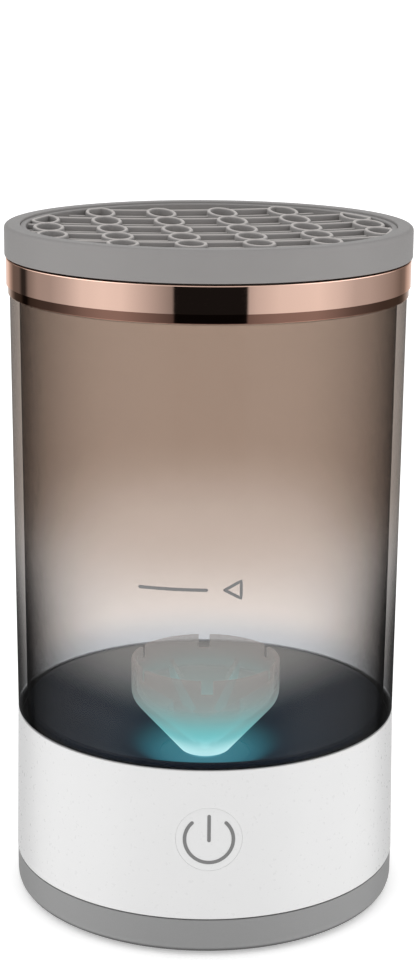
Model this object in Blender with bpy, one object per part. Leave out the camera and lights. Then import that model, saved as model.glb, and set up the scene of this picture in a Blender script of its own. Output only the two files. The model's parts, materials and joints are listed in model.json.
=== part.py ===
"""Electric makeup brush cleaner: a smoked wash tank on a white drive base, under a lift-off brush holder lid.

Run with: blender --background --python part.py
Metres, +Z up, origin at the centre of the foot ring's underside, the power button facing -Y.
"""

import math

import bmesh
import bpy
from mathutils import Matrix, Vector

MM = 0.001
GAP = 0.3 * MM  # between pieces that rest on each other

# Driving dimensions of the outside
LID_RADIUS = 47.0 * MM
LID_TOP = 161.5 * MM
LID_BOTTOM = 154.4 * MM
TRIM_RADIUS = 46.7 * MM
TRIM_BOTTOM = 147.9 * MM
TRIM_STEP_RADIUS = 46.3 * MM
TRIM_STEP_BOTTOM = 145.7 * MM
TANK_TOP_RADIUS = 45.9 * MM
TANK_FOOT_RADIUS = 45.4 * MM
TANK_WALL = 2.2 * MM
BASE_TOP_RADIUS = 45.45 * MM
BASE_FOOT_RADIUS = 46.1 * MM
BASE_INNER_RADIUS = 43.2 * MM
BASE_TOP = 45.0 * MM
SPIGOT_RADIUS = 44.4 * MM  # where the tank and its floor enter the base
COVER_RADIUS = 46.0 * MM
COVER_TOP = 9.0 * MM
FOOT_GROUND_GAP = 0.6 * MM  # the cover's underside stands this high on its non-slip ring
PAD_INNER = 24.0 * MM
PAD_OUTER = 33.0 * MM

# Wash floor, impeller and drive, all on the vertical axis
FLOOR_RIM_Z = 44.8 * MM
FLOOR_CENTRE_Z = 31.9 * MM
FLOOR_THICKNESS = 2.2 * MM
LENS_RADIUS = 11.0 * MM
LENS_TOP = 31.7 * MM
IMPELLER_RADIUS = 18.0 * MM
IMPELLER_TOP = 56.0 * MM
IMPELLER_SHOULDER_Z = 46.5 * MM
IMPELLER_FOOT_Z = 32.6 * MM
IMPELLER_VANES = 6
SHAFT_RADIUS = 1.0 * MM
MOTOR_RADIUS = 12.2 * MM
MOTOR_TOP = 25.0 * MM
MOTOR_BOTTOM = 11.4 * MM
BRACKET_TOP = 26.3 * MM
MOTOR_SCREW_CIRCLE = 16.5 * MM

# Brush web in the lid
WEB_TOP = LID_TOP - 0.5 * MM
WEB_BOTTOM = 155.6 * MM
WEB_RADIUS = 43.0 * MM
HOOP_WIDTH = 1.0 * MM
SLEEVE_HALF_WIDTH = 3.6 * MM
SLEEVE_WALL = 1.0 * MM
SLEEVE_OVERLAP = 0.4 * MM  # how far each end of a sleeve runs into the next one of its column
COLUMN_PITCH = 14.9 * MM
COLUMN_CENTRE_X = -0.7 * MM
COLUMN_DRIFT = 0.18 * MM  # how far the columns drift to the right, times the column number squared
MIDDLE_ROW_Y = -6.3 * MM
ROW_PITCH = 14.0 * MM
ROW_SPREAD = 0.83 * MM  # the rows stand further apart towards the back, by this times the row number squared
ROW_BOW = 0.005 / MM  # the rows bow towards the back, by this times the square of x
LID_TURN = math.radians(6.6)  # how far the lid's pattern is turned about the vertical
RIB_WIDTH = 1.0 * MM
RIB_STEP = 0.5 * MM  # how far the ribs lie under the sleeves' tops
SKIN = 0.02 * MM  # keeps the faces of joined shapes out of one plane

# Power button on the front of the base
BUTTON_Z = 28.7 * MM
BUTTON_RADIUS = 7.4 * MM
BUTTON_CLEARANCE = 0.15 * MM
SWITCH_BOARD_FRONT = -37.4 * MM
SWITCH_SCREW_X = 9.5 * MM
SWITCH_SCREW_Z = BUTTON_Z + 6.3 * MM

# Fasteners
BOTTOM_SCREW_CIRCLE = 39.0 * MM
BOTTOM_SCREW_ANGLES = [math.radians(45 + 90 * i) for i in range(4)]
MOTOR_SCREW_ANGLES = [math.radians(90 + 120 * i) for i in range(3)]

# Battery, a 14 mm by 43 mm cell lying along Y
CELL_RADIUS = 7.0 * MM
CELL_LENGTH = 43.0 * MM
CELL_X = -27.0 * MM
CELL_Z = 11.6 * MM

# Power board at the back, with the USB-C socket
BOARD_THICKNESS = 1.2 * MM
POWER_BOARD_Z = 10.1 * MM
POWER_BOARD_HALF_WIDTH = 9.0 * MM
POWER_BOARD_FRONT = 20.0 * MM
POWER_BOARD_BACK = 40.0 * MM
POWER_SCREW_X = 6.2 * MM
POWER_SCREW_Y = 23.6 * MM
USB_HALF_WIDTH = 4.47 * MM
USB_HEIGHT = 3.26 * MM
USB_MIDDLE_Z = POWER_BOARD_Z + BOARD_THICKNESS + 0.1 * MM + USB_HEIGHT / 2

LARGE_STEPS = 40
SMALL_STEPS = 20
TINY_STEPS = 10

COLOURS = {  # name: (base colour, roughness, metallic)
    "lid_silicone": ((0.33, 0.32, 0.31), 0.55, 0.0),
    "rose_gold": ((0.80, 0.50, 0.40), 0.12, 1.0),
    "smoked_clear": ((0.24, 0.18, 0.14), 0.05, 0.0),
    "dark_navy": ((0.03, 0.045, 0.075), 0.30, 0.0),
    "glow_lens": ((0.35, 0.85, 0.88), 0.30, 0.0),
    "impeller_smoke": ((0.42, 0.44, 0.46), 0.25, 0.0),
    "white_gloss": ((0.82, 0.82, 0.82), 0.25, 0.0),
    "foot_grey": ((0.29, 0.29, 0.29), 0.50, 0.0),
    "black_rubber": ((0.03, 0.03, 0.03), 0.80, 0.0),
    "steel": ((0.62, 0.62, 0.63), 0.30, 1.0),
    "magnet_grey": ((0.12, 0.12, 0.13), 0.60, 0.0),
    "bronze": ((0.55, 0.36, 0.16), 0.40, 1.0),
    "copper": ((0.72, 0.38, 0.22), 0.35, 1.0),
    "board_green": ((0.02, 0.20, 0.09), 0.45, 0.0),
    "black_plastic": ((0.03, 0.03, 0.035), 0.50, 0.0),
    "cell_wrap": ((0.05, 0.18, 0.55), 0.35, 0.0),
    "red_wire": ((0.55, 0.03, 0.03), 0.50, 0.0),
}


def clear_scene():
    for obj in list(bpy.data.objects):
        bpy.data.objects.remove(obj)


def material(name):
    found = bpy.data.materials.get(name)
    if found:
        return found
    colour, roughness, metallic = COLOURS[name]
    made = bpy.data.materials.new(name)
    made.use_nodes = True
    shader = made.node_tree.nodes["Principled BSDF"]
    shader.inputs["Base Color"].default_value = (*colour, 1.0)
    shader.inputs["Roughness"].default_value = roughness
    shader.inputs["Metallic"].default_value = metallic
    return made


def object_from(bm, name, colour):
    """Closes a bmesh into a named object with outward normals and smooth round sides."""
    bmesh.ops.remove_doubles(bm, verts=bm.verts, dist=0.001 * MM)
    bmesh.ops.recalc_face_normals(bm, faces=bm.faces)
    mesh = bpy.data.meshes.new(name)
    bm.to_mesh(mesh)
    bm.free()
    mesh.materials.append(material(colour))
    mesh.shade_smooth()
    mesh.set_sharp_from_angle(angle=math.radians(35))
    obj = bpy.data.objects.new(name, mesh)
    bpy.context.scene.collection.objects.link(obj)
    return obj


def turned(name, profile, colour, steps=LARGE_STEPS, angle=2 * math.pi, start=0.0):
    """Spins a closed profile of (radius, z) points round +Z. It may start and end on the axis."""
    bm = bmesh.new()
    on_axis = profile[0][0] == 0 and profile[-1][0] == 0
    points = [bm.verts.new((r * math.cos(start), r * math.sin(start), z)) for r, z in profile]
    edges = [bm.edges.new(pair) for pair in zip(points, points[1:])]
    if not on_axis:
        edges.append(bm.edges.new((points[-1], points[0])))
    swept = points + edges
    if angle < 2 * math.pi:
        swept = [bm.faces.new(points)]
    bmesh.ops.spin(bm, geom=swept, cent=(0, 0, 0), axis=(0, 0, 1), angle=angle, steps=steps)
    return object_from(bm, name, colour)


def arc(centre_r, centre_z, radius, start_deg, end_deg, steps):
    """Points of a round stretch of a profile, from start to end angle."""
    return [
        (
            centre_r + radius * math.cos(math.radians(start_deg + (end_deg - start_deg) * i / steps)),
            centre_z + radius * math.sin(math.radians(start_deg + (end_deg - start_deg) * i / steps)),
        )
        for i in range(steps + 1)
    ]


def cylinder(name, radius, low, high, colour, steps=SMALL_STEPS):
    """An upright cylinder on the Z axis."""
    bm = bmesh.new()
    bmesh.ops.create_cone(bm, cap_ends=True, segments=steps, radius1=radius, radius2=radius, depth=high - low)
    bmesh.ops.translate(bm, vec=(0, 0, (low + high) / 2), verts=bm.verts)
    return object_from(bm, name, colour)


def stadium(name, half_width, half_height, front, back, colour):
    """A bar along +Y whose cross-section has round ends, its middle on the Y axis."""
    bm = bmesh.new()
    straight = half_width - half_height
    right = [(straight + x, z) for x, z in arc(0, 0, half_height, -90, 90, 6)]
    left = [(x - straight, z) for x, z in arc(0, 0, half_height, 90, 270, 6)]
    face = bm.faces.new([bm.verts.new((x, front, z)) for x, z in right + left])
    grown = bmesh.ops.extrude_face_region(bm, geom=[face])["geom"]
    moved = [item for item in grown if isinstance(item, bmesh.types.BMVert)]
    bmesh.ops.translate(bm, vec=(0, back - front, 0), verts=moved)
    return object_from(bm, name, colour)


def block(name, low, high, colour):
    """A box between two corners."""
    bm = bmesh.new()
    bmesh.ops.create_cube(bm, size=1.0)
    low, high = Vector(low), Vector(high)
    bmesh.ops.scale(bm, vec=high - low, verts=bm.verts)
    bmesh.ops.translate(bm, vec=(low + high) / 2, verts=bm.verts)
    return object_from(bm, name, colour)


def upright_plate(name, outline, half_thickness, colour):
    """A plate with an outline in the X-Z plane, centred on y = 0."""
    bm = bmesh.new()
    front = [bm.verts.new((x, -half_thickness, z)) for x, z in outline]
    back = [bm.verts.new((x, half_thickness, z)) for x, z in outline]
    bm.faces.new(front)
    bm.faces.new(list(reversed(back)))
    for i in range(len(outline)):
        j = (i + 1) % len(outline)
        bm.faces.new((front[j], front[i], back[i], back[j]))
    return object_from(bm, name, colour)


def place(obj, x=0.0, y=0.0, z=0.0, turn_z=0.0, turn_x=0.0):
    obj.rotation_euler = (turn_x, 0.0, turn_z)
    obj.location = (x, y, z)
    return obj


def hide(helper):
    helper.hide_render = True
    helper.display_type = "WIRE"
    return helper


def boolean(target, helper, operation):
    modifier = target.modifiers.new(operation.lower(), "BOOLEAN")
    modifier.operation = operation
    modifier.solver = "EXACT"
    modifier.object = hide(helper)
    return target


def cut(target, cutter):
    return boolean(target, cutter, "DIFFERENCE")


def join(target, other):
    return boolean(target, other, "UNION")


def on_circle(radius, angle):
    return radius * math.cos(angle), radius * math.sin(angle)


# ---------------------------------------------------------------- lid


def row_y(row, x):
    """How far back a row lies at x. Row 0 is the middle one, and negative rows are nearer the front."""
    return MIDDLE_ROW_Y + ROW_PITCH * row + ROW_SPREAD * row * row + ROW_BOW * x * x


def sleeve_places():
    """(x, y, half length) of each sleeve: four middle columns of five rows and two outer columns of three."""
    found = []
    for column in (-2.5, -1.5, -0.5, 0.5, 1.5, 2.5):
        for row in (-1, 0, 1) if abs(column) > 2 else (-2, -1, 0, 1, 2):
            x = COLUMN_CENTRE_X + column * COLUMN_PITCH + column * column * COLUMN_DRIFT
            half_length = ROW_PITCH / 2 + ROW_SPREAD * row + SLEEVE_OVERLAP
            found.append((x, row_y(row, x), half_length))
    return found


def oval(name, place_and_length, inset, low, high):
    """An upright oval post: a sleeve's outline, drawn in by inset."""
    x, y, half_length = place_and_length
    bm = bmesh.new()
    bmesh.ops.create_cone(bm, cap_ends=True, segments=TINY_STEPS, radius1=1.0, radius2=1.0, depth=high - low)
    bmesh.ops.scale(bm, vec=(SLEEVE_HALF_WIDTH - inset, half_length - inset, 1.0), verts=bm.verts)
    bmesh.ops.translate(bm, vec=(x, y, (low + high) / 2), verts=bm.verts)
    return object_from(bm, name, "lid_silicone")


def bowed_rib(name, row, high, width):
    """A rib right across the web that follows the bow of its row."""
    bm = bmesh.new()
    reach = WEB_RADIUS
    sections = 6
    rings = []
    for i in range(sections + 1):
        x = -reach + 2 * reach * i / sections
        y = row_y(row, x)
        front, back, low = y - width / 2, y + width / 2, WEB_BOTTOM + 2 * SKIN
        corners = [(front, low), (back, low), (back, high), (front, high)]
        rings.append([bm.verts.new((x, cy, cz)) for cy, cz in corners])
    for near, far in zip(rings, rings[1:]):
        for i in range(4):
            bm.faces.new((near[i], near[(i + 1) % 4], far[(i + 1) % 4], far[i]))
    bm.faces.new(rings[0])
    bm.faces.new(rings[-1])
    return object_from(bm, name, "lid_silicone")


def collected(name, objects):
    """Puts helpers into one hidden collection, for a Boolean that takes them all at once."""
    group = bpy.data.collections.new(name)
    bpy.context.scene.collection.children.link(group)
    for obj in objects:
        hide(obj)
        bpy.context.scene.collection.objects.unlink(obj)
        group.objects.link(obj)
    group.hide_render = True
    return group


def boolean_group(target, group, operation):
    modifier = target.modifiers.new(group.name, "BOOLEAN")
    modifier.operation = operation
    modifier.solver = "EXACT"
    modifier.operand_type = "COLLECTION"
    modifier.collection = group
    return target


def web_hoop():
    inner = WEB_RADIUS - HOOP_WIDTH
    profile = [(inner, WEB_BOTTOM), (WEB_RADIUS, WEB_BOTTOM), (WEB_RADIUS, WEB_TOP), (inner, WEB_TOP)]
    return turned("web_hoop", profile, "lid_silicone")


def brush_web():
    """The silicone web: bowed ribs and oval sleeves that grip the brush handles, inside a hoop."""
    low, high = WEB_BOTTOM, WEB_TOP
    web = bowed_rib("brush_web", -0.5, high - RIB_STEP, RIB_WIDTH)
    sleeves = sleeve_places()
    shapes = [oval(f"sleeve_{i}", where, 0.0, low + SKIN, high - SKIN) for i, where in enumerate(sleeves)]
    for row in (-2.5, -1.5, 0.5, 1.5, 2.5):
        shapes.append(bowed_rib(f"rib_between_{row}", row, high - RIB_STEP, RIB_WIDTH))
    for row in (-2, -1, 0, 1, 2):
        shapes.append(bowed_rib(f"rib_through_{row}", row, high - 3 * RIB_STEP, RIB_WIDTH))
    holes = [oval(f"hole_{i}", where, SLEEVE_WALL, low - MM, high + MM) for i, where in enumerate(sleeves)]
    for piece in [web, *shapes, *holes]:
        place(piece, turn_z=LID_TURN)
    boolean_group(web, collected("web_shapes", shapes), "UNION")
    boolean_group(web, collected("web_holes", holes), "DIFFERENCE")
    reach = WEB_RADIUS - HOOP_WIDTH / 2
    outline = cylinder("web_outline", reach, low - MM, high + MM, "lid_silicone", LARGE_STEPS)
    boolean(web, outline, "INTERSECT")
    return join(web, web_hoop())


def lid_rim():
    """The lid's rigid rim: a rounded outer band, a ledge for the web and a skirt for the tank's mouth."""
    edge = 1.5 * MM
    inner = WEB_RADIUS + GAP
    skirt_outer = 43.35 * MM
    skirt_inner = 41.5 * MM
    skirt_bottom = 149.1 * MM
    ledge = WEB_BOTTOM - GAP
    profile = [(LID_RADIUS, LID_BOTTOM)]
    profile += arc(LID_RADIUS - edge, LID_TOP - edge, edge, 0, 90, 4)
    profile += [(inner, LID_TOP), (inner, ledge), (skirt_inner, ledge), (skirt_inner, skirt_bottom)]
    profile += [(skirt_outer, skirt_bottom), (skirt_outer, LID_BOTTOM)]
    return turned("lid_rim", profile, "lid_silicone")


# ---------------------------------------------------------------- tank


def trim_ring():
    """The plated ring: an upper band and a set-back lower step that stands on the tank's shoulder."""
    inner = 45.3 * MM
    chamfer = 0.3 * MM
    top = LID_BOTTOM - 0.4 * MM
    profile = [
        (inner, TRIM_STEP_BOTTOM),
        (TRIM_STEP_RADIUS, TRIM_STEP_BOTTOM),
        (TRIM_STEP_RADIUS, TRIM_BOTTOM),
        (TRIM_RADIUS - chamfer / 2, TRIM_BOTTOM),
        (TRIM_RADIUS, TRIM_BOTTOM + chamfer),
        (TRIM_RADIUS, top - chamfer),
        (TRIM_RADIUS - chamfer, top),
        (inner, top),
    ]
    return turned("trim_ring", profile, "rose_gold")


def tank_wall():
    """The smoked tank: a tapered tube with a neck inside the trim ring and a spigot into the base."""
    neck = 45.0 * MM
    mouth_inner = TANK_TOP_RADIUS - TANK_WALL
    foot_inner = TANK_FOOT_RADIUS - TANK_WALL
    ledge = BASE_TOP + GAP
    shoulder = TRIM_STEP_BOTTOM - GAP
    spigot_bottom = 43.3 * MM
    profile = [
        (TANK_FOOT_RADIUS, ledge),
        (TANK_TOP_RADIUS, shoulder),
        (neck, shoulder),
        (neck, LID_BOTTOM - 0.6 * MM),
        (mouth_inner, LID_BOTTOM - 0.6 * MM),
        (mouth_inner, shoulder),
        (foot_inner, ledge),
        (foot_inner, spigot_bottom),
        (SPIGOT_RADIUS, spigot_bottom),
        (SPIGOT_RADIUS, ledge),
    ]
    return turned("tank_wall", profile, "smoked_clear")


def tank_floor():
    """The dark funnel floor, which carries the gasket, the lens and three bosses for the motor bracket."""
    under_centre = FLOOR_CENTRE_Z - FLOOR_THICKNESS - 0.6 * MM
    flange_top = 42.3 * MM
    flange_bottom = 40.3 * MM
    wall_outer = 42.8 * MM
    wall_inner = 41.8 * MM
    lens_seat = LENS_RADIUS + GAP
    profile = [
        (SPIGOT_RADIUS, flange_bottom),
        (SPIGOT_RADIUS, flange_top),
        (wall_outer, flange_top),
        (wall_outer, FLOOR_RIM_Z),
        (wall_inner, FLOOR_RIM_Z),
        (12.6 * MM, FLOOR_CENTRE_Z),
        (lens_seat, FLOOR_CENTRE_Z),
        (lens_seat, FLOOR_CENTRE_Z - 1.7 * MM),
        (9.0 * MM, FLOOR_CENTRE_Z - 1.7 * MM),
        (9.0 * MM, under_centre),
        (13.5 * MM, under_centre),
        (wall_inner, flange_bottom),
    ]
    floor = turned("tank_floor", profile, "dark_navy")
    for i, angle in enumerate(MOTOR_SCREW_ANGLES):
        x, y = on_circle(MOTOR_SCREW_CIRCLE, angle)
        low = BRACKET_TOP + GAP
        boss = cylinder(f"floor_boss_{i}", 2.8 * MM, low, FLOOR_CENTRE_Z, "dark_navy", TINY_STEPS)
        pilot = cylinder(f"floor_pilot_{i}", 1.1 * MM, 26.0 * MM, 30.4 * MM, "dark_navy", TINY_STEPS)
        join(floor, place(boss, x, y))
        cut(floor, place(pilot, x, y))
    return floor


def tank_gasket():
    low, high = 42.5 * MM, 43.1 * MM
    inner, outer = 43.2 * MM, 44.3 * MM
    profile = [(inner, low), (outer, low), (outer, high), (inner, high)]
    return turned("tank_gasket", profile, "black_rubber")


def glow_lens():
    """The clear window round the shaft, with a boss for the shaft seal."""
    low = LENS_TOP - 1.2 * MM
    boss_bottom = 27.4 * MM
    profile = [
        (2.6 * MM, boss_bottom),
        (4.2 * MM, boss_bottom),
        (4.2 * MM, low),
        (LENS_RADIUS, low),
        (LENS_RADIUS, LENS_TOP),
        (2.6 * MM, LENS_TOP),
    ]
    return turned("glow_lens", profile, "glow_lens", SMALL_STEPS)


def shaft_seal():
    """A rubber lip seal: a cup in the lens's boss, narrowing to a lip near its top."""
    profile = [
        (1.5 * MM, 27.7 * MM),
        (2.5 * MM, 27.7 * MM),
        (2.5 * MM, 31.5 * MM),
        (1.1 * MM, 31.5 * MM),
        (1.1 * MM, 30.9 * MM),
        (1.5 * MM, 30.1 * MM),
    ]
    return turned("shaft_seal", profile, "black_rubber", SMALL_STEPS)


# ---------------------------------------------------------------- spinning parts


def impeller():
    """A funnel cup on the shaft: a cone, an upright wall with notches in its rim, and vanes inside."""
    wall = 1.2 * MM
    bore = SHAFT_RADIUS + 0.06 * MM
    hub = 3.2 * MM
    hub_top = 42.0 * MM
    bore_top = 40.6 * MM
    inner = IMPELLER_RADIUS - wall
    profile = [
        (0, bore_top),
        (bore, bore_top),
        (bore, IMPELLER_FOOT_Z),
        (5.8 * MM, IMPELLER_FOOT_Z),
        (IMPELLER_RADIUS, IMPELLER_SHOULDER_Z),
        (IMPELLER_RADIUS, IMPELLER_TOP),
        (inner, IMPELLER_TOP),
        (inner, IMPELLER_SHOULDER_Z + 0.5 * MM),
        (hub, IMPELLER_FOOT_Z + 2.0 * MM),
        (hub, hub_top),
        (0, hub_top),
    ]
    cup = turned("impeller", profile, "impeller_smoke", 30)
    vane_outline = [
        (2.4 * MM, 33.0 * MM),
        (17.2 * MM, 46.8 * MM),
        (17.2 * MM, 51.0 * MM),
        (2.4 * MM, 41.2 * MM),
    ]
    notch_box = (inner - 2 * MM, -1.4 * MM, 52.5 * MM), (IMPELLER_RADIUS + MM, 1.4 * MM, 57.0 * MM)
    vanes = []
    notches = []
    for i in range(IMPELLER_VANES):
        turn = 2 * math.pi * i / IMPELLER_VANES - math.pi / 2
        vane = upright_plate(f"vane_{i}", vane_outline, 0.6 * MM, "impeller_smoke")
        notch = block(f"notch_{i}", *notch_box, "impeller_smoke")
        vanes.append(place(vane, turn_z=turn + math.pi / IMPELLER_VANES))
        notches.append(place(notch, turn_z=turn))
    boolean_group(cup, collected("impeller_vanes", vanes), "UNION")
    return boolean_group(cup, collected("impeller_notches", notches), "DIFFERENCE")


def motor_shaft():
    return cylinder("motor_shaft", SHAFT_RADIUS, 12.5 * MM, 40.3 * MM, "steel")


def motor_rotor():
    """A five-pole laminated core on the shaft."""
    bore = SHAFT_RADIUS + 0.06 * MM
    low, high = 16.2 * MM, 22.8 * MM
    profile = [(bore, low), (8.2 * MM, low), (8.2 * MM, high), (bore, high)]
    rotor = turned("motor_rotor", profile, "steel", 30)
    slot_box = (4.0 * MM, -0.7 * MM, low - MM), (9.0 * MM, 0.7 * MM, high + MM)
    slots = []
    for i in range(5):
        slot = block(f"rotor_slot_{i}", *slot_box, "steel")
        slots.append(place(slot, turn_z=2 * math.pi * i / 5))
    return boolean_group(rotor, collected("rotor_slots", slots), "DIFFERENCE")


def motor_commutator():
    bore = SHAFT_RADIUS + 0.06 * MM
    profile = [(bore, 14.2 * MM), (2.4 * MM, 14.2 * MM), (2.4 * MM, 15.9 * MM), (bore, 15.9 * MM)]
    return turned("motor_commutator", profile, "copper", SMALL_STEPS)


# ---------------------------------------------------------------- motor and its bracket


def motor_can():
    wall = 0.8 * MM
    inner = MOTOR_RADIUS - wall
    skirt = 13.2 * MM
    profile = [
        (inner, skirt),
        (MOTOR_RADIUS, skirt),
        (MOTOR_RADIUS, MOTOR_TOP),
        (3.8 * MM, MOTOR_TOP),
        (3.8 * MM, 26.4 * MM),
        (3.1 * MM, 26.4 * MM),
        (3.1 * MM, MOTOR_TOP - wall),
        (inner, MOTOR_TOP - wall),
    ]
    return turned("motor_can", profile, "steel", 24)


def motor_bush():
    bore = SHAFT_RADIUS + 0.03 * MM
    profile = [(bore, 23.6 * MM), (3.0 * MM, 23.6 * MM), (3.0 * MM, 26.3 * MM), (bore, 26.3 * MM)]
    return turned("motor_bush", profile, "bronze", SMALL_STEPS)


def motor_magnet(name, middle):
    """One of the two curved field magnets inside the can."""
    profile = [(9.0 * MM, 15.0 * MM), (11.1 * MM, 15.0 * MM), (11.1 * MM, 23.2 * MM), (9.0 * MM, 23.2 * MM)]
    reach = math.radians(140)
    return turned(name, profile, "magnet_grey", 12, angle=reach, start=middle - reach / 2)


def motor_end_bell():
    profile = [
        (0, MOTOR_BOTTOM),
        (MOTOR_RADIUS, MOTOR_BOTTOM),
        (MOTOR_RADIUS, 12.9 * MM),
        (11.2 * MM, 12.9 * MM),
        (11.2 * MM, 13.9 * MM),
        (1.06 * MM, 13.9 * MM),
        (1.06 * MM, 12.2 * MM),
        (0, 12.2 * MM),
    ]
    return turned("motor_end_bell", profile, "black_plastic", 24)


def motor_bracket():
    """A cup that holds the motor from below, with a flange screwed up to the tank floor's bosses."""
    inner = MOTOR_RADIUS + GAP
    outer = inner + 1.2 * MM
    lip = 10.0 * MM
    low = MOTOR_BOTTOM - GAP - 1.2 * MM
    flange_low = BRACKET_TOP - 1.0 * MM
    flange = 19.6 * MM
    profile = [
        (lip, low),
        (outer, low),
        (outer, flange_low),
        (flange, flange_low),
        (flange, BRACKET_TOP),
        (inner, BRACKET_TOP),
        (inner, MOTOR_BOTTOM - GAP),
        (lip, MOTOR_BOTTOM - GAP),
    ]
    bracket = turned("motor_bracket", profile, "black_plastic", 24)
    for i, angle in enumerate(MOTOR_SCREW_ANGLES):
        x, y = on_circle(MOTOR_SCREW_CIRCLE, angle)
        hole = cylinder(f"bracket_hole_{i}", 1.4 * MM, 24.0 * MM, 28.0 * MM, "black_plastic", TINY_STEPS)
        cut(bracket, place(hole, x, y))
    return bracket


def screw(name, x, y, head_bottom, head_height, head_radius, shank_radius, tip):
    """A pan-head screw driven upwards, with a cross recess in its head."""
    shank_start = head_bottom + head_height
    profile = [
        (0, head_bottom),
        (head_radius * 0.8, head_bottom),
        (head_radius, head_bottom + head_height * 0.4),
        (head_radius, shank_start),
        (shank_radius, shank_start),
        (shank_radius, tip - shank_radius),
        (0, tip),
    ]
    made = turned(name, profile, "steel", TINY_STEPS)
    arm = head_radius * 0.55
    width = head_radius * 0.13
    depth = head_height * 0.45
    low, high = head_bottom - MM, head_bottom + depth
    along = place(block(name + "_recess_a", (-arm, -width, low), (arm, width, high), "steel"), x, y)
    across = place(block(name + "_recess_b", (-width, -arm, low), (width, arm, high), "steel"), x, y)
    boolean_group(made, collected(name + "_recess", [along, across]), "DIFFERENCE")
    return place(made, x, y)


def motor_screws():
    for i, angle in enumerate(MOTOR_SCREW_ANGLES):
        x, y = on_circle(MOTOR_SCREW_CIRCLE, angle)
        screw(f"motor_screw_{i + 1}", x, y, 23.8 * MM, 1.2 * MM, 2.0 * MM, 1.0 * MM, 30.0 * MM)


# ---------------------------------------------------------------- glow


def led_board():
    low, high = 28.0 * MM, 28.8 * MM
    profile = [(4.6 * MM, low), (12.0 * MM, low), (12.0 * MM, high), (4.6 * MM, high)]
    return turned("led_board", profile, "board_green", SMALL_STEPS)


def leds():
    half = 1.3 * MM
    for i in range(4):
        angle = math.radians(45 + 90 * i)
        led = block(f"led_{i + 1}", (-half, -half, 28.9 * MM), (half, half, 29.6 * MM), "glow_lens")
        x, y = on_circle(6.9 * MM, angle)
        place(led, x, y, turn_z=angle)


# ---------------------------------------------------------------- base


def base_shell():
    """The white outer casing, with a hole for the button, an opening for USB and four screw bosses."""
    rebate = SPIGOT_RADIUS + GAP
    ledge = 40.0 * MM
    low = COVER_TOP + GAP
    profile = [
        (BASE_INNER_RADIUS, low),
        (BASE_FOOT_RADIUS, low),
        (BASE_TOP_RADIUS, BASE_TOP),
        (rebate, BASE_TOP),
        (rebate, ledge),
        (BASE_INNER_RADIUS, ledge),
    ]
    shell = turned("base_shell", profile, "white_gloss")
    bosses = []
    cutters = []
    for i, angle in enumerate(BOTTOM_SCREW_ANGLES):
        x, y = on_circle(BOTTOM_SCREW_CIRCLE, angle)
        boss = cylinder(f"shell_boss_{i}", 4.4 * MM, 12.3 * MM, 30.0 * MM, "white_gloss", 12)
        pilot = cylinder(f"shell_pilot_{i}", 1.6 * MM, 11.0 * MM, 22.0 * MM, "white_gloss", TINY_STEPS)
        bosses.append(place(boss, x, y))
        cutters.append(place(pilot, x, y))
    post_front = -SWITCH_BOARD_FRONT + GAP
    for side in (-1, 1):
        post = cylinder(f"board_post_{side}", 2.0 * MM, post_front, 43.0 * MM, "white_gloss", TINY_STEPS)
        bosses.append(place(post, side * SWITCH_SCREW_X, 0, SWITCH_SCREW_Z, turn_x=math.pi / 2))
        pilot = cylinder(f"board_pilot_{side}", 0.9 * MM, 36.8 * MM, 41.8 * MM, "white_gloss", TINY_STEPS)
        cutters.append(place(pilot, side * SWITCH_SCREW_X, 0, SWITCH_SCREW_Z, turn_x=math.pi / 2))
    hole_radius = BUTTON_RADIUS + BUTTON_CLEARANCE
    hole = cylinder("button_hole", hole_radius, 42.0 * MM, 48.0 * MM, "white_gloss", 32)
    cutters.append(place(hole, 0, 0, BUTTON_Z, turn_x=math.pi / 2))
    usb_size = USB_HALF_WIDTH + GAP, USB_HEIGHT / 2 + GAP
    usb = stadium("usb_opening", *usb_size, 42.0 * MM, 48.0 * MM, "white_gloss")
    cutters.append(place(usb, z=USB_MIDDLE_Z))
    boolean_group(shell, collected("shell_bosses", bosses), "UNION")
    return boolean_group(shell, collected("shell_cutters", cutters), "DIFFERENCE")


def power_button():
    """The round button: its face follows the casing's curve and its flange keeps it in the casing."""
    flange_front = 41.8 * MM
    flange_back = 41.1 * MM
    low = COVER_TOP + GAP
    cap = cylinder("power_button", BUTTON_RADIUS, flange_front - 0.1 * MM, 48.0 * MM, "white_gloss", 32)
    place(cap, 0, 0, BUTTON_Z, turn_x=math.pi / 2)
    casing = [(0, low), (BASE_FOOT_RADIUS, low), (BASE_TOP_RADIUS, BASE_TOP), (0, BASE_TOP)]
    boolean(cap, turned("button_outline", casing, "white_gloss"), "INTERSECT")
    flange = cylinder("button_flange", 8.8 * MM, flange_back, flange_front, "white_gloss", 32)
    return join(cap, place(flange, 0, 0, BUTTON_Z, turn_x=math.pi / 2))


def switch_plunger():
    plunger = cylinder("switch_plunger", 1.6 * MM, 38.6 * MM, 41.0 * MM, "black_plastic", TINY_STEPS)
    return place(plunger, 0, 0, BUTTON_Z, turn_x=math.pi / 2)


def tact_switch():
    half = 3.0 * MM
    body = block(
        "tact_switch",
        (-half, -40.3 * MM, BUTTON_Z - half),
        (half, SWITCH_BOARD_FRONT - 0.1 * MM, BUTTON_Z + half),
        "black_plastic",
    )
    hole = cylinder("tact_hole", 1.9 * MM, 38.0 * MM, 42.0 * MM, "black_plastic", TINY_STEPS)
    return cut(body, place(hole, 0, 0, BUTTON_Z, turn_x=math.pi / 2))


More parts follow.
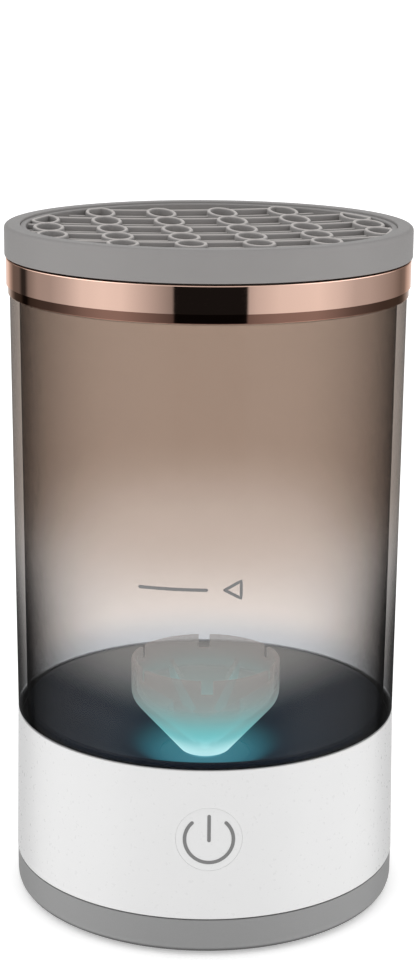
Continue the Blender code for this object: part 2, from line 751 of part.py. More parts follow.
def switch_board():
    board = block(
        "switch_board",
        (-12.0 * MM, SWITCH_BOARD_FRONT, BUTTON_Z - 6.2 * MM),
        (12.0 * MM, SWITCH_BOARD_FRONT + BOARD_THICKNESS, SWITCH_SCREW_Z + 2.5 * MM),
        "board_green",
    )
    for side in (-1, 1):
        hole = cylinder(f"switch_hole_{side}", 1.3 * MM, 34.0 * MM, 39.0 * MM, "board_green", TINY_STEPS)
        cut(board, place(hole, side * SWITCH_SCREW_X, 0, SWITCH_SCREW_Z, turn_x=math.pi / 2))
    return board


def switch_board_screws():
    """Screws driven towards the front, so their heads face the middle of the base."""
    head_back = -(SWITCH_BOARD_FRONT + BOARD_THICKNESS) - 1.3 * MM
    for i, side in enumerate((-1, 1)):
        profile = [
            (0, head_back),
            (1.8 * MM, head_back),
            (1.8 * MM, head_back + 1.0 * MM),
            (0.8 * MM, head_back + 1.0 * MM),
            (0.8 * MM, 41.3 * MM),
            (0, 41.3 * MM),
        ]
        made = turned(f"switch_board_screw_{i + 1}", profile, "steel", TINY_STEPS)
        place(made, side * SWITCH_SCREW_X, 0, SWITCH_SCREW_Z, turn_x=math.pi / 2)


def power_board():
    """The charging and motor control board, with its charger chip and inductor."""
    top = POWER_BOARD_Z + BOARD_THICKNESS
    board = block(
        "power_board",
        (-POWER_BOARD_HALF_WIDTH, POWER_BOARD_FRONT, POWER_BOARD_Z),
        (POWER_BOARD_HALF_WIDTH, POWER_BOARD_BACK, top),
        "board_green",
    )
    front, sunk = 28.0 * MM, top - 0.2 * MM
    chip_box = (-5.5 * MM, front, sunk), (-1.5 * MM, 33.0 * MM, top + 1.4 * MM)
    coil_box = (1.5 * MM, front, sunk), (6.0 * MM, 32.5 * MM, top + 2.6 * MM)
    chip = block("charger_chip", *chip_box, "black_plastic")
    coil = block("inductor", *coil_box, "black_plastic")
    boolean_group(board, collected("board_parts", [chip, coil]), "UNION")
    for side in (-1, 1):
        hole = cylinder(f"power_hole_{side}", 1.3 * MM, 9.0 * MM, 12.5 * MM, "board_green", TINY_STEPS)
        cut(board, place(hole, side * POWER_SCREW_X, POWER_SCREW_Y))
    return board


def power_board_screws():
    top = POWER_BOARD_Z + BOARD_THICKNESS + 0.2 * MM
    for i, side in enumerate((-1, 1)):
        profile = [
            (0, 5.4 * MM),
            (0.8 * MM, 5.4 * MM),
            (0.8 * MM, top),
            (1.9 * MM, top),
            (1.9 * MM, top + 1.0 * MM),
            (0, top + 1.0 * MM),
        ]
        made = turned(f"power_board_screw_{i + 1}", profile, "steel", TINY_STEPS)
        place(made, side * POWER_SCREW_X, POWER_SCREW_Y)


def usb_socket():
    """The USB-C socket's steel shell with its tongue."""
    front = 36.2 * MM
    mouth = 45.3 * MM
    wall = 0.3 * MM
    half_height = USB_HEIGHT / 2
    shell = stadium("usb_socket", USB_HALF_WIDTH, half_height, front, mouth, "steel")
    hollow = stadium("usb_hollow", USB_HALF_WIDTH - wall, half_height - wall, front + MM, mouth + MM, "steel")
    tongue = block(
        "usb_tongue",
        (-3.3 * MM, front + 0.5 * MM, USB_MIDDLE_Z - 0.35 * MM),
        (3.3 * MM, mouth - 1.0 * MM, USB_MIDDLE_Z + 0.35 * MM),
        "black_plastic",
    )
    cut(shell, place(hollow, z=USB_MIDDLE_Z))
    return join(place(shell, z=USB_MIDDLE_Z), tongue)


def battery_cell():
    """The rechargeable cell, with a raised button on its front end."""
    half = CELL_LENGTH / 2
    profile = [
        (0, -half),
        (CELL_RADIUS - 0.5 * MM, -half),
        (CELL_RADIUS, -half + 0.5 * MM),
        (CELL_RADIUS, half - 1.5 * MM),
        (CELL_RADIUS - 0.5 * MM, half - 1.0 * MM),
        (2.6 * MM, half - 1.0 * MM),
        (2.6 * MM, half),
        (0, half),
    ]
    cell = turned("battery_cell", profile, "cell_wrap", SMALL_STEPS)
    return place(cell, CELL_X, 0, CELL_Z, turn_x=math.pi / 2)


def bottom_cover():
    """The grey bottom cover: a rounded foot band and a spigot, with bosses, board posts and cell saddles."""
    edge = 2.4 * MM
    low = FOOT_GROUND_GAP
    groove = low + 0.8 * MM
    inside = low + 2.0 * MM
    spigot_outer = BASE_INNER_RADIUS - GAP
    spigot_inner = spigot_outer - 1.2 * MM
    spigot_top = 11.8 * MM
    profile = [(0, low), (PAD_INNER - GAP, low), (PAD_INNER - GAP, groove)]
    profile += [(PAD_OUTER + GAP, groove), (PAD_OUTER + GAP, low)]
    profile += arc(COVER_RADIUS - edge, low + edge, edge, -90, 0, 3)
    profile += [(COVER_RADIUS, COVER_TOP), (spigot_outer, COVER_TOP), (spigot_outer, spigot_top)]
    profile += [(spigot_inner, spigot_top), (spigot_inner, inside), (0, inside)]
    cover = turned("bottom_cover", profile, "foot_grey")
    shapes = []
    cutters = []
    for i, angle in enumerate(BOTTOM_SCREW_ANGLES):
        x, y = on_circle(BOTTOM_SCREW_CIRCLE, angle)
        boss = cylinder(f"cover_boss_{i}", 3.7 * MM, 2.0 * MM, 11.5 * MM, "foot_grey", 12)
        bore = cylinder(f"cover_bore_{i}", 2.8 * MM, 0.0, 5.2 * MM, "foot_grey", 12)
        hole = cylinder(f"cover_hole_{i}", 1.7 * MM, 4.0 * MM, 13.0 * MM, "foot_grey", TINY_STEPS)
        shapes.append(place(boss, x, y))
        cutters += [place(bore, x, y), place(hole, x, y)]
    for side in (-1, 1):
        x = side * POWER_SCREW_X
        post_top = POWER_BOARD_Z - GAP
        post = cylinder(f"cover_post_{side}", 2.2 * MM, 2.0 * MM, post_top, "foot_grey", TINY_STEPS)
        shapes.append(place(post, x, POWER_SCREW_Y))
        pilot = cylinder(f"cover_pilot_{side}", 0.9 * MM, 4.8 * MM, 10.5 * MM, "foot_grey", TINY_STEPS)
        cutters.append(place(pilot, x, POWER_SCREW_Y))
        saddle = block(
            f"cell_saddle_{side}",
            (CELL_X - CELL_RADIUS, side * 12.0 * MM - 0.9 * MM, 2.0 * MM),
            (CELL_X + CELL_RADIUS, side * 12.0 * MM + 0.9 * MM, 9.0 * MM),
            "foot_grey",
        )
        shapes.append(saddle)
    half = CELL_LENGTH / 2
    seat = cylinder("cell_seat", CELL_RADIUS + GAP, -half, half, "foot_grey", SMALL_STEPS)
    cutters.append(place(seat, CELL_X, 0, CELL_Z, turn_x=math.pi / 2))
    notch = block(
        "usb_notch",
        (-USB_HALF_WIDTH - 2 * GAP, 40.4 * MM, POWER_BOARD_Z),
        (USB_HALF_WIDTH + 2 * GAP, 44.0 * MM, 14.0 * MM),
        "foot_grey",
    )
    cutters.append(notch)
    boolean_group(cover, collected("cover_shapes", shapes), "UNION")
    return boolean_group(cover, collected("cover_cutters", cutters), "DIFFERENCE")


def bottom_screws():
    for i, angle in enumerate(BOTTOM_SCREW_ANGLES):
        x, y = on_circle(BOTTOM_SCREW_CIRCLE, angle)
        screw(f"bottom_screw_{i + 1}", x, y, 3.5 * MM, 1.4 * MM, 2.6 * MM, 1.4 * MM, 20.0 * MM)


def non_slip_ring():
    top = FOOT_GROUND_GAP + 0.5 * MM
    profile = [(PAD_INNER, 0.0), (PAD_OUTER, 0.0), (PAD_OUTER, top), (PAD_INNER, top)]
    return turned("non_slip_ring", profile, "black_rubber")


def cable(name, points, colour):
    """A round cable through the given points, in millimetres."""
    curve = bpy.data.curves.new(name, "CURVE")
    curve.dimensions = "3D"
    curve.bevel_depth = 0.6 * MM
    curve.bevel_resolution = 1
    curve.resolution_u = 3
    curve.use_fill_caps = True
    spline = curve.splines.new("BEZIER")
    spline.bezier_points.add(len(points) - 1)
    for knot, point in zip(spline.bezier_points, points):
        knot.co = Vector(point) * MM
        knot.handle_left_type = "AUTO"
        knot.handle_right_type = "AUTO"
    curve.materials.append(material(colour))
    obj = bpy.data.objects.new(name, curve)
    bpy.context.scene.collection.objects.link(obj)
    return obj


def cables():
    cell_to_board = [(-24.5, 22.4, 11.6), (-20, 25, 11), (-14, 28.5, 10.8), (-9.9, 30, 10.7)]
    motor_to_board = [(5, 3, 10.6), (5, 6, 7.5), (4, 13, 6), (2, 19.1, 10.7)]
    leds_to_board = [(12.9, 0, 28.1), (21.5, 2, 27.9), (25, 8, 20), (20, 20, 12), (9.9, 27, 10.7)]
    switch_to_board = [(6, -35.3, 24), (14, -29, 16), (21, -12, 9), (20, 8, 9), (9.9, 22, 10.7)]
    cable("battery_cable", cell_to_board, "red_wire")
    cable("motor_cable", motor_to_board, "red_wire")
    cable("led_cable", leds_to_board, "red_wire")
    cable("switch_cable", switch_to_board, "red_wire")


def main():
    clear_scene()
    lid_rim()
    brush_web()
    trim_ring()
    tank_wall()
    tank_floor()
    tank_gasket()
    glow_lens()
    shaft_seal()
    impeller()
    motor_shaft()
    motor_rotor()
    motor_commutator()
    motor_can()
    motor_bush()
    motor_magnet("motor_magnet_right", 0.0)
    motor_magnet("motor_magnet_left", math.pi)
    motor_end_bell()
    motor_bracket()
    motor_screws()
    led_board()
    leds()
    base_shell()
    power_button()
    switch_plunger()
    tact_switch()
    switch_board()
    switch_board_screws()
    power_board()
    power_board_screws()
    usb_socket()
    battery_cell()
    bottom_cover()
    bottom_screws()
    non_slip_ring()
    cables()


main()
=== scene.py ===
"""Looks of the brush cleaner: finer meshes, materials, studio and camera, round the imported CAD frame."""

import json
import math

import bmesh
import bpy
from mathutils import Matrix, Vector


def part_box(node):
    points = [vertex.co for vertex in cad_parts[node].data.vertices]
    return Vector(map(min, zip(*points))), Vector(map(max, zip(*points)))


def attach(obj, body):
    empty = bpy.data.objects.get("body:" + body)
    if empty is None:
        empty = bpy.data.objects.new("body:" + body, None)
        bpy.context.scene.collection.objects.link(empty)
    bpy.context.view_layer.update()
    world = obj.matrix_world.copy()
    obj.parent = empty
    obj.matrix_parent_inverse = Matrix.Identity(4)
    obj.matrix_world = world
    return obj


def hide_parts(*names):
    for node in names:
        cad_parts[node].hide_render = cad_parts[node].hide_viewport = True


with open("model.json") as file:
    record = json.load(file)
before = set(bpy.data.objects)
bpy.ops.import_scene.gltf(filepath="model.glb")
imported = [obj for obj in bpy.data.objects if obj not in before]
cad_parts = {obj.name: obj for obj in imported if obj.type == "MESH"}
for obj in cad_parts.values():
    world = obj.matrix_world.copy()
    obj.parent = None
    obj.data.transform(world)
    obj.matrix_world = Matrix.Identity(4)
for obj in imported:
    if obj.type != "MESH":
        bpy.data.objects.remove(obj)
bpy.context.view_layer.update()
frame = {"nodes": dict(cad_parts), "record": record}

MM = 0.001
FINE = 160  # steps round a large circle
MEDIUM = 64
SMALL = 32
SHARP_EDGE = 35  # degrees


def low_of(node):
    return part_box(node)[0]


def high_of(node):
    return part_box(node)[1]


def circle_places(radius, count, first):
    """(x, y, angle) of places spread evenly on a circle, the first of them at the given angle in degrees."""
    angles = [math.radians(first + 360 * i / count) for i in range(count)]
    return [(radius * math.cos(a), radius * math.sin(a), a) for a in angles]


# Sizes read from the frame
LID_RADIUS = high_of("lid_rim").x
LID_TOP = high_of("lid_rim").z
SKIRT_BOTTOM = low_of("lid_rim").z
TRIM_RADIUS = high_of("trim_ring").x
TRIM_TOP = high_of("trim_ring").z
TRIM_STEP_BOTTOM = low_of("trim_ring").z
TANK_TOP = high_of("tank_wall").z
TANK_SPIGOT_BOTTOM = low_of("tank_wall").z
TANK_TOP_RADIUS = high_of("tank_wall").x
BASE_FOOT_RADIUS = high_of("base_shell").x
BASE_TOP = high_of("base_shell").z
BASE_BOTTOM = low_of("base_shell").z
COVER_RADIUS = high_of("bottom_cover").x
COVER_BOTTOM = low_of("bottom_cover").z
COVER_SPIGOT_TOP = high_of("bottom_cover").z
FLOOR_RIM = high_of("tank_floor").z
LENS_RADIUS = high_of("glow_lens").x
LENS_TOP = high_of("glow_lens").z
IMPELLER_FOOT = low_of("impeller").z
IMPELLER_TOP = high_of("impeller").z
WEB_TOP = high_of("brush_web").z
WEB_BOTTOM = low_of("brush_web").z
BUTTON_Z = (low_of("power_button").z + high_of("power_button").z) / 2
PAD_RADIUS = high_of("non_slip_ring").x
PAD_TOP = high_of("non_slip_ring").z

# Sizes inside those, the same as the CAD's but for the hoop, which reaches closer to the lid's rim
GAP = 0.3 * MM
WEB_RADIUS = 43.0 * MM
HOOP_RADIUS = WEB_RADIUS + 0.24 * MM
HOOP_WIDTH = 1.0 * MM
LID_BOTTOM = 154.4 * MM
TRIM_BOTTOM = 147.9 * MM
TRIM_STEP_RADIUS = 46.3 * MM
TANK_WALL = 2.2 * MM
TANK_FOOT_RADIUS = 45.4 * MM
TANK_FOOT = BASE_TOP + GAP
TANK_SHOULDER = TRIM_STEP_BOTTOM - GAP
SPIGOT_RADIUS = 44.4 * MM
BASE_TOP_RADIUS = 45.45 * MM
BASE_INNER_RADIUS = 43.2 * MM
COVER_TOP = 9.0 * MM
FLOOR_CENTRE = 31.9 * MM
IMPELLER_RADIUS = 18.0 * MM
IMPELLER_WALL = 1.2 * MM
IMPELLER_SHOULDER = 46.5 * MM
IMPELLER_VANES = 6
BUTTON_RADIUS = 7.4 * MM
BUTTON_CLEARANCE = 0.15 * MM
PAD_INNER = 24.0 * MM
BOTTOM_SCREWS = circle_places(39.0 * MM, 4, 45)
POWER_BOARD_SCREWS = [(-6.2 * MM, 23.6 * MM), (6.2 * MM, 23.6 * MM)]
USB_HALF_WIDTH = 4.47 * MM
USB_HALF_HEIGHT = 1.63 * MM
USB_MIDDLE_Z = 13.03 * MM

# The brush web's pattern
SLEEVE_HALF_WIDTH = 3.6 * MM
SLEEVE_WALL = 1.0 * MM
SLEEVE_OVERLAP = 0.4 * MM
COLUMN_PITCH = 14.9 * MM
COLUMN_CENTRE_X = -0.7 * MM
COLUMN_DRIFT = 0.18 * MM
MIDDLE_ROW_Y = -6.3 * MM
ROW_PITCH = 14.0 * MM
ROW_SPREAD = 0.83 * MM
ROW_BOW = 0.005 / MM
LID_TURN = math.radians(6.6)
RIB_WIDTH = 1.0 * MM
RIB_STEP = 0.5 * MM


# ---------------- mesh helpers


def finish_mesh(bm, name, material, sharp=SHARP_EDGE):
    """Turns a bmesh into an object with outward faces, smooth but for edges sharper than so many degrees."""
    bmesh.ops.remove_doubles(bm, verts=bm.verts, dist=0.0005 * MM)
    bmesh.ops.recalc_face_normals(bm, faces=bm.faces)
    mesh = bpy.data.meshes.new(name)
    bm.to_mesh(mesh)
    bm.free()
    mesh.shade_smooth()
    mesh.set_sharp_from_angle(angle=math.radians(sharp))
    mesh.materials.append(MATERIALS[material])
    obj = bpy.data.objects.new(name, mesh)
    bpy.context.scene.collection.objects.link(obj)
    return obj


FILLET_SHARE = 0.42  # the most of a straight side that one fillet may take
HOLD_SHARE = 0.12  # how far the extra point stands past a fillet's end, in lengths of the fillet


def rounded(corners, steps):
    """A closed outline from (r, z, fillet) corners; points past each curve keep straight stretches flat."""
    outline = []
    count = len(corners)
    for i, (r, z, fillet) in enumerate(corners):
        if fillet <= 0:
            outline.append((r, z))
            continue
        here = Vector((r, z))
        before = Vector(corners[i - 1][:2]) - here
        after = Vector(corners[(i + 1) % count][:2]) - here
        reach = min(fillet, before.length * FILLET_SHARE, after.length * FILLET_SHARE)
        held = reach * (1 + HOLD_SHARE)
        start = here + before.normalized() * reach
        end = here + after.normalized() * reach
        curve = [here + before.normalized() * held]
        for step in range(steps + 1):
            t = step / steps
            curve.append(start * (1 - t) ** 2 + here * 2 * t * (1 - t) + end * t**2)
        curve.append(here + after.normalized() * held)
        outline += [(point.x, point.y) for point in curve]
    return outline


def lathe(name, corners, material, steps=FINE, fillet_steps=4):
    """Spins an outline of (r, z, fillet) corners round the vertical axis, on which it may start and end."""
    outline = rounded(corners, fillet_steps)
    bm = bmesh.new()
    turns = [2 * math.pi * i / steps for i in range(steps)]
    rings = []
    for r, z in outline:
        if r == 0:
            rings.append([bm.verts.new((0, 0, z))] * steps)
        else:
            rings.append([bm.verts.new((r * math.cos(a), r * math.sin(a), z)) for a in turns])
    solid = outline[0][0] == 0 and outline[-1][0] == 0
    pairs = len(outline) - 1 if solid else len(outline)
    for i in range(pairs):
        near, far = rings[i], rings[(i + 1) % len(rings)]
        for j in range(steps):
            k = (j + 1) % steps
            different = dict.fromkeys((near[j], near[k], far[k], far[j]))
            bm.faces.new(list(different))
    return finish_mesh(bm, name, material)


def cylinder_mesh(radius, length, steps):
    bm = bmesh.new()
    bmesh.ops.create_cone(bm, cap_ends=True, segments=steps, radius1=radius, radius2=radius, depth=length)
    return bm


def upright(radius, low, high, x=0.0, y=0.0, steps=SMALL):
    """A helper cylinder for a Boolean."""
    bm = cylinder_mesh(radius, high - low, steps)
    bmesh.ops.translate(bm, vec=(x, y, (low + high) / 2), verts=bm.verts)
    return finish_mesh(bm, "helper", "helper")


def along_y(radius, front, back, x=0.0, z=0.0, steps=SMALL):
    """A helper cylinder lying along Y."""
    bm = cylinder_mesh(radius, back - front, steps)
    bmesh.ops.rotate(bm, cent=(0, 0, 0), matrix=Matrix.Rotation(math.pi / 2, 3, "X"), verts=bm.verts)
    bmesh.ops.translate(bm, vec=(x, (front + back) / 2, z), verts=bm.verts)
    return finish_mesh(bm, "helper", "helper")


def box(low, high, turn=0.0):
    """A helper block, turned about the vertical axis."""
    bm = bmesh.new()
    bmesh.ops.create_cube(bm, size=1.0)
    low, high = Vector(low), Vector(high)
    bmesh.ops.scale(bm, vec=high - low, verts=bm.verts)
    bmesh.ops.translate(bm, vec=(low + high) / 2, verts=bm.verts)
    bmesh.ops.rotate(bm, cent=(0, 0, 0), matrix=Matrix.Rotation(turn, 3, "Z"), verts=bm.verts)
    return finish_mesh(bm, "helper", "helper")


def plate(outline, half_thickness, turn):
    """A helper plate with an (r, z) outline, turned about the vertical axis."""
    bm = bmesh.new()
    front = [bm.verts.new((r, -half_thickness, z)) for r, z in outline]
    back = [bm.verts.new((r, half_thickness, z)) for r, z in outline]
    bm.faces.new(front)
    bm.faces.new(back)
    for i in range(len(outline)):
        j = (i + 1) % len(outline)
        bm.faces.new((front[i], front[j], back[j], back[i]))
    bmesh.ops.rotate(bm, cent=(0, 0, 0), matrix=Matrix.Rotation(turn, 3, "Z"), verts=bm.verts)
    return finish_mesh(bm, "helper", "helper")


def stadium(half_width, half_height, front, back, z):
    """A helper bar along Y with round ends to its cross-section."""
    bm = bmesh.new()
    steps = 12  # of each half circle
    ring = []
    for side in (1, -1):
        for i in range(steps + 1):
            a = math.pi * i / steps - side * math.pi / 2
            x = side * (half_width - half_height) + half_height * math.cos(a)
            ring.append(bm.verts.new((x, front, z + half_height * math.sin(a))))
    face = bm.faces.new(ring)
    grown = bmesh.ops.extrude_face_region(bm, geom=[face])["geom"]
    moved = [item for item in grown if isinstance(item, bmesh.types.BMVert)]
    bmesh.ops.translate(bm, vec=(0, back - front, 0), verts=moved)
    return finish_mesh(bm, "helper", "helper")


def combine(target, helpers, operation):
    """Applies one Boolean with all the helpers, then removes them."""
    group = bpy.data.collections.new("helpers")
    bpy.context.scene.collection.children.link(group)
    for helper in helpers:
        bpy.context.scene.collection.objects.unlink(helper)
        group.objects.link(helper)
    modifier = target.modifiers.new(operation.lower(), "BOOLEAN")
    modifier.operation = operation
    modifier.solver = "EXACT"
    modifier.operand_type = "COLLECTION"
    modifier.collection = group
    apply_modifiers(target)
    for helper in helpers:
        bpy.data.objects.remove(helper)
    bpy.data.collections.remove(group)


def apply_modifiers(obj):
    """Bakes the modifiers into the mesh, which keeps its first material, and shades it again."""
    evaluated = obj.evaluated_get(bpy.context.evaluated_depsgraph_get())
    made = bpy.data.meshes.new_from_object(evaluated)
    material = obj.data.materials[0]
    obj.modifiers.clear()
    obj.data = made
    made.materials.clear()
    made.materials.append(material)
    for polygon in made.polygons:
        polygon.material_index = 0
    made.shade_smooth()
    made.set_sharp_from_angle(angle=math.radians(SHARP_EDGE))


def mount(piece, body, slot, *nodes):
    """Puts a piece on its body, in place of CAD nodes; the slot argument is not used."""
    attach(piece, body)
    if nodes:
        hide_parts(*nodes)


# ---------------- material helpers


class Graph:
    """A short way to write the node tree of a material or of the world."""

    def __init__(self, owner, shader):
        owner.use_nodes = True
        self.owner = owner
        self.nodes = owner.node_tree.nodes
        self.links = owner.node_tree.links
        self.shader = self.nodes[shader]

    def add(self, kind, inputs=None, **settings):
        node = self.nodes.new(kind)
        for key, value in settings.items():
            setattr(node, key, value)
        for key, value in (inputs or {}).items():
            self.feed(node.inputs[key], value)
        return node

    def feed(self, socket, value):
        if isinstance(value, bpy.types.NodeSocket):
            self.links.new(value, socket)
        elif isinstance(value, (tuple, list)) and len(socket.default_value) == 4 and len(value) == 3:
            socket.default_value = (*value, 1.0)
        else:
            socket.default_value = value

    def set(self, **values):
        """Feeds the main shader, with underscores for spaces."""
        for key, value in values.items():
            self.feed(self.shader.inputs[key.replace("_", " ")], value)

    def place(self):
        """Position in the row frame at rest, in millimetres."""
        coordinates = self.add("ShaderNodeTexCoord").outputs["Object"]
        return self.add("ShaderNodeVectorMath", {0: coordinates, 3: 1000.0}, operation="SCALE").outputs[0]

    def axis(self, name):
        return self.add("ShaderNodeSeparateXYZ", {0: self.place()}).outputs[name]

    def radius(self):
        """Distance from the vertical axis in millimetres."""
        split = self.add("ShaderNodeSeparateXYZ", {0: self.place()}).outputs
        squares = [self.math("MULTIPLY", split[axis], split[axis]) for axis in ("X", "Y")]
        return self.math("SQRT", self.math("ADD", *squares))

    def upwardness(self):
        """The upright part of the surface's normal: 1 on a level top, -1 on a level underside."""
        normal = self.add("ShaderNodeNewGeometry").outputs["Normal"]
        return self.add("ShaderNodeSeparateXYZ", {0: normal}).outputs["Z"]

    def noise(self, scale, detail, stretch=(1.0, 1.0, 1.0)):
        """Noise between 0 and 1; scale is in features per millimetre."""
        stretched = self.add("ShaderNodeVectorMath", {0: self.place(), 1: stretch}, operation="MULTIPLY")
        inputs = {"Vector": stretched.outputs[0], "Scale": scale, "Detail": detail}
        return self.add("ShaderNodeTexNoise", inputs).outputs["Fac"]

    def math(self, operation, a, b=0.0, clamp=False):
        node = self.add("ShaderNodeMath", {0: a, 1: b}, operation=operation)
        node.use_clamp = clamp
        return node.outputs[0]

    def span(self, value, from_low, from_high, to_low=0.0, to_high=1.0):
        """Maps a range smoothly on to another and holds it at its ends."""
        limits = {"From Min": from_low, "From Max": from_high, "To Min": to_low, "To Max": to_high}
        node = self.add("ShaderNodeMapRange", {"Value": value, **limits}, interpolation_type="SMOOTHSTEP")
        return node.outputs["Result"]

    def fall(self, value, full, gone):
        """1 up to one value, then smoothly down to 0 at another."""
        return self.span(value, full, gone, 1.0, 0.0)

    def spread(self, noise, low, high):
        """Maps the middle of a noise's range on to another range."""
        return self.span(noise, 0.3, 0.7, low, high)

    def mix(self, factor, a, b):
        node = self.add("ShaderNodeMix", data_type="RGBA")
        self.feed(node.inputs["Factor"], factor)
        self.feed(node.inputs["A"], a)
        self.feed(node.inputs["B"], b)
        return node.outputs["Result"]

    def bump(self, height, strength, depth):
        """Relief of a depth in millimetres."""
        inputs = {"Height": height, "Strength": strength, "Distance": depth * MM}
        return self.add("ShaderNodeBump", inputs).outputs["Normal"]

    def ramp(self, value, stops):
        """Grey levels by value, straight from each (value, level) stop to the next."""
        node = self.add("ShaderNodeValToRGB", {"Fac": value})
        elements = node.color_ramp.elements
        while len(elements) < len(stops):
            elements.new(1.0)
        for element, (position, level) in zip(elements, stops):
            element.position = position
            element.color = (level, level, level, 1.0)
        return node.outputs["Color"]

    def see_through(self, share, colour, shader):
        """Sends clear plastic of a colour, with a share of another shader on it, to the material's output."""
        clear = self.add("ShaderNodeBsdfTransparent", {"Color": colour}).outputs[0]
        blend = self.add("ShaderNodeMixShader", {0: share, 1: clear, 2: shader}).outputs[0]
        self.links.new(blend, self.nodes["Material Output"].inputs["Surface"])


def material_graph(name):
    return Graph(bpy.data.materials.new(name), "Principled BSDF")


def grey(level):
    return (level, level, level)


SILICONE_GREYS = [(0.225, 0.216, 0.212), (0.255, 0.245, 0.240)]
TEAL = (0.12, 0.84, 1.0)


def moulded(name, dark, light, roughness, grain, bump, coat=0.0):
    """Moulded plastic or rubber: two close colours mottled together, with fine grain in gloss and relief."""
    g = material_graph(name)
    mottle = g.noise(0.09, 2.0)
    fine = g.noise(grain, 4.0)
    tone = g.math("ADD", g.math("MULTIPLY", mottle, 0.7), g.math("MULTIPLY", fine, 0.3))
    g.set(
        Base_Color=g.mix(tone, dark, light),
        Roughness=g.spread(fine, roughness - 0.05, roughness + 0.06),
        Coat_Weight=coat,
        Coat_Roughness=0.12,
        Normal=g.bump(fine, bump, 0.04),
    )
    return g.owner


def cover_grey():
    """Grey plastic of the foot band, with a painted contact shadow dark along its lowest edge."""
    g = material_graph("cover_grey")
    fine = g.noise(3.0, 4.0)
    low = COVER_BOTTOM / MM
    # Painted contact shadow: nearly black up to 0.8 mm above the band's bottom, fading out by 1.7 mm.
    edge = g.fall(g.axis("Z"), low + 0.8, low + 1.7)
    g.set(
        Base_Color=g.mix(edge, g.mix(fine, grey(0.22), grey(0.25)), grey(0.04)),
        Roughness=g.spread(fine, 0.43, 0.54),
        Normal=g.bump(fine, 0.3, 0.04),
    )
    return g.owner


def web_silicone():
    """Grey silicone, with painted shade darker down in the web's gaps and a painted highlight on its thin
    lips, where they catch the light.
    """
    g = material_graph("web_silicone")
    fine = g.noise(3.0, 4.0)
    height = g.axis("Z")
    top = WEB_TOP / MM
    body = g.mix(g.noise(0.08, 2.0), *SILICONE_GREYS)
    # Painted shade: darker towards the bottom of the web's gaps.
    painted_gap_shade = g.mix(g.span(height, top - 5.0, top - 0.8), (0.10, 0.090, 0.084), body)
    # Painted highlight: the thin lips' level tops are painted pale, as if catching the light.
    upward = g.span(g.upwardness(), 0.35, 0.95)
    painted_lip_highlight = g.math("MULTIPLY", upward, g.span(height, top - 2.5, top - 0.3, 0.25, 0.9))
    g.set(
        Base_Color=g.mix(painted_lip_highlight, painted_gap_shade, (0.50, 0.47, 0.45)),
        Roughness=g.spread(fine, 0.46, 0.58),
        Normal=g.bump(fine, 0.3, 0.04),
    )
    return g.owner


def rose_gold():
    """Mirror-bright rose gold plating with faint turning marks; painted shade and reflection make the ring's
    lower step dark, darkest towards its sides.
    """
    g = material_graph("rose_gold_plating")
    marks = g.noise(1.2, 2.0, (0.05, 0.05, 6.0))
    bright = g.mix(g.noise(0.05, 2.0), (0.84, 0.565, 0.455), (0.90, 0.62, 0.51))
    # Painted shade and reflection: the lower step is painted dark brown, and darker still towards its sides.
    aside = g.span(g.math("ABSOLUTE", g.axis("X")), 20.0, 40.0)
    step = g.mix(aside, (0.27, 0.145, 0.110), (0.09, 0.050, 0.037))
    above = g.math("GREATER_THAN", g.axis("Z"), TRIM_BOTTOM / MM - 0.01)
    g.set(
        Base_Color=g.mix(above, step, bright),
        Metallic=1.0,
        Specular_Tint=(0.95, 0.75, 0.65),
        Roughness=g.spread(marks, 0.03, 0.06),
        Normal=g.bump(marks, 0.04, 0.02),
    )
    return g.owner


def smoked_tank():
    """Clear smoked plastic, brown at the top, paler downwards, navy at the foot, and darker at its sides."""
    brown = (0.728, 0.670, 0.629)
    pale = (0.908, 0.888, 0.877)
    navy = (0.74, 0.77, 0.80)
    nearly_black = (0.02, 0.018, 0.016)
    g = material_graph("smoked_tank")
    height = g.axis("Z")
    tint = g.mix(g.span(height, 74.0, 102.0), pale, brown)
    tint = g.mix(g.fall(height, 44.0, 56.0), tint, navy)
    facing = g.add("ShaderNodeLayerWeight", {"Blend": 0.5}).outputs["Facing"]
    square = g.math("MULTIPLY", facing, facing)
    sides = g.math("MULTIPLY", square, g.span(height, 50.0, 95.0, 1.25, 0.66), clamp=True)
    sheen = g.spread(g.noise(0.6, 3.0), 0.03, 0.07)
    gloss = g.add("ShaderNodeBsdfGlossy", {"Color": grey(0.9), "Roughness": sheen}).outputs[0]
    share = g.math("ADD", g.math("MULTIPLY", g.math("POWER", facing, 5.0), 0.10), 0.008)
    g.see_through(share, g.mix(sides, tint, nearly_black), gloss)
    return g.owner


def spilled_light(g):
    """How much painted teal glow, standing for the window's light, falls at each distance from the axis."""
    return g.math("MULTIPLY", g.fall(g.radius(), 8.0, 20.0), 0.25)


def glowing_floor():
    """Navy plastic, paler towards the back, with a painted pool of the window's teal light glowing at its
    centre.
    """
    g = material_graph("glowing_floor")
    fine = g.noise(1.5, 4.0)
    navy = g.mix(g.noise(0.12, 3.0), (0.024, 0.037, 0.062), (0.040, 0.058, 0.092))
    paler_towards_back = g.span(g.axis("Y"), 12.0, 40.0)
    g.set(
        Base_Color=g.mix(paler_towards_back, navy, (0.68, 0.71, 0.73)),
        Roughness=g.spread(fine, 0.44, 0.56),
        Specular_IOR_Level=0.05,
        # Painted light: the floor glows teal near its centre, as a pool of the window's light.
        Emission_Color=TEAL,
        Emission_Strength=spilled_light(g),
        Normal=g.bump(fine, 0.02, 0.03),
    )
    return g.owner


def lit_window():
    """Deep teal window, lit from below and whitest under the impeller's foot."""
    g = material_graph("lit_window")
    middle = g.fall(g.radius(), 2.0, 5.0)
    g.set(
        Base_Color=g.mix(g.noise(0.5, 2.0), (0.022, 0.040, 0.062), (0.034, 0.056, 0.082)),
        Roughness=0.5,
        Specular_IOR_Level=0.15,
        Emission_Color=g.mix(middle, TEAL, (0.55, 0.97, 1.0)),
        Emission_Strength=g.math("ADD", g.math("MULTIPLY", middle, 0.8), spilled_light(g)),
    )
    return g.owner


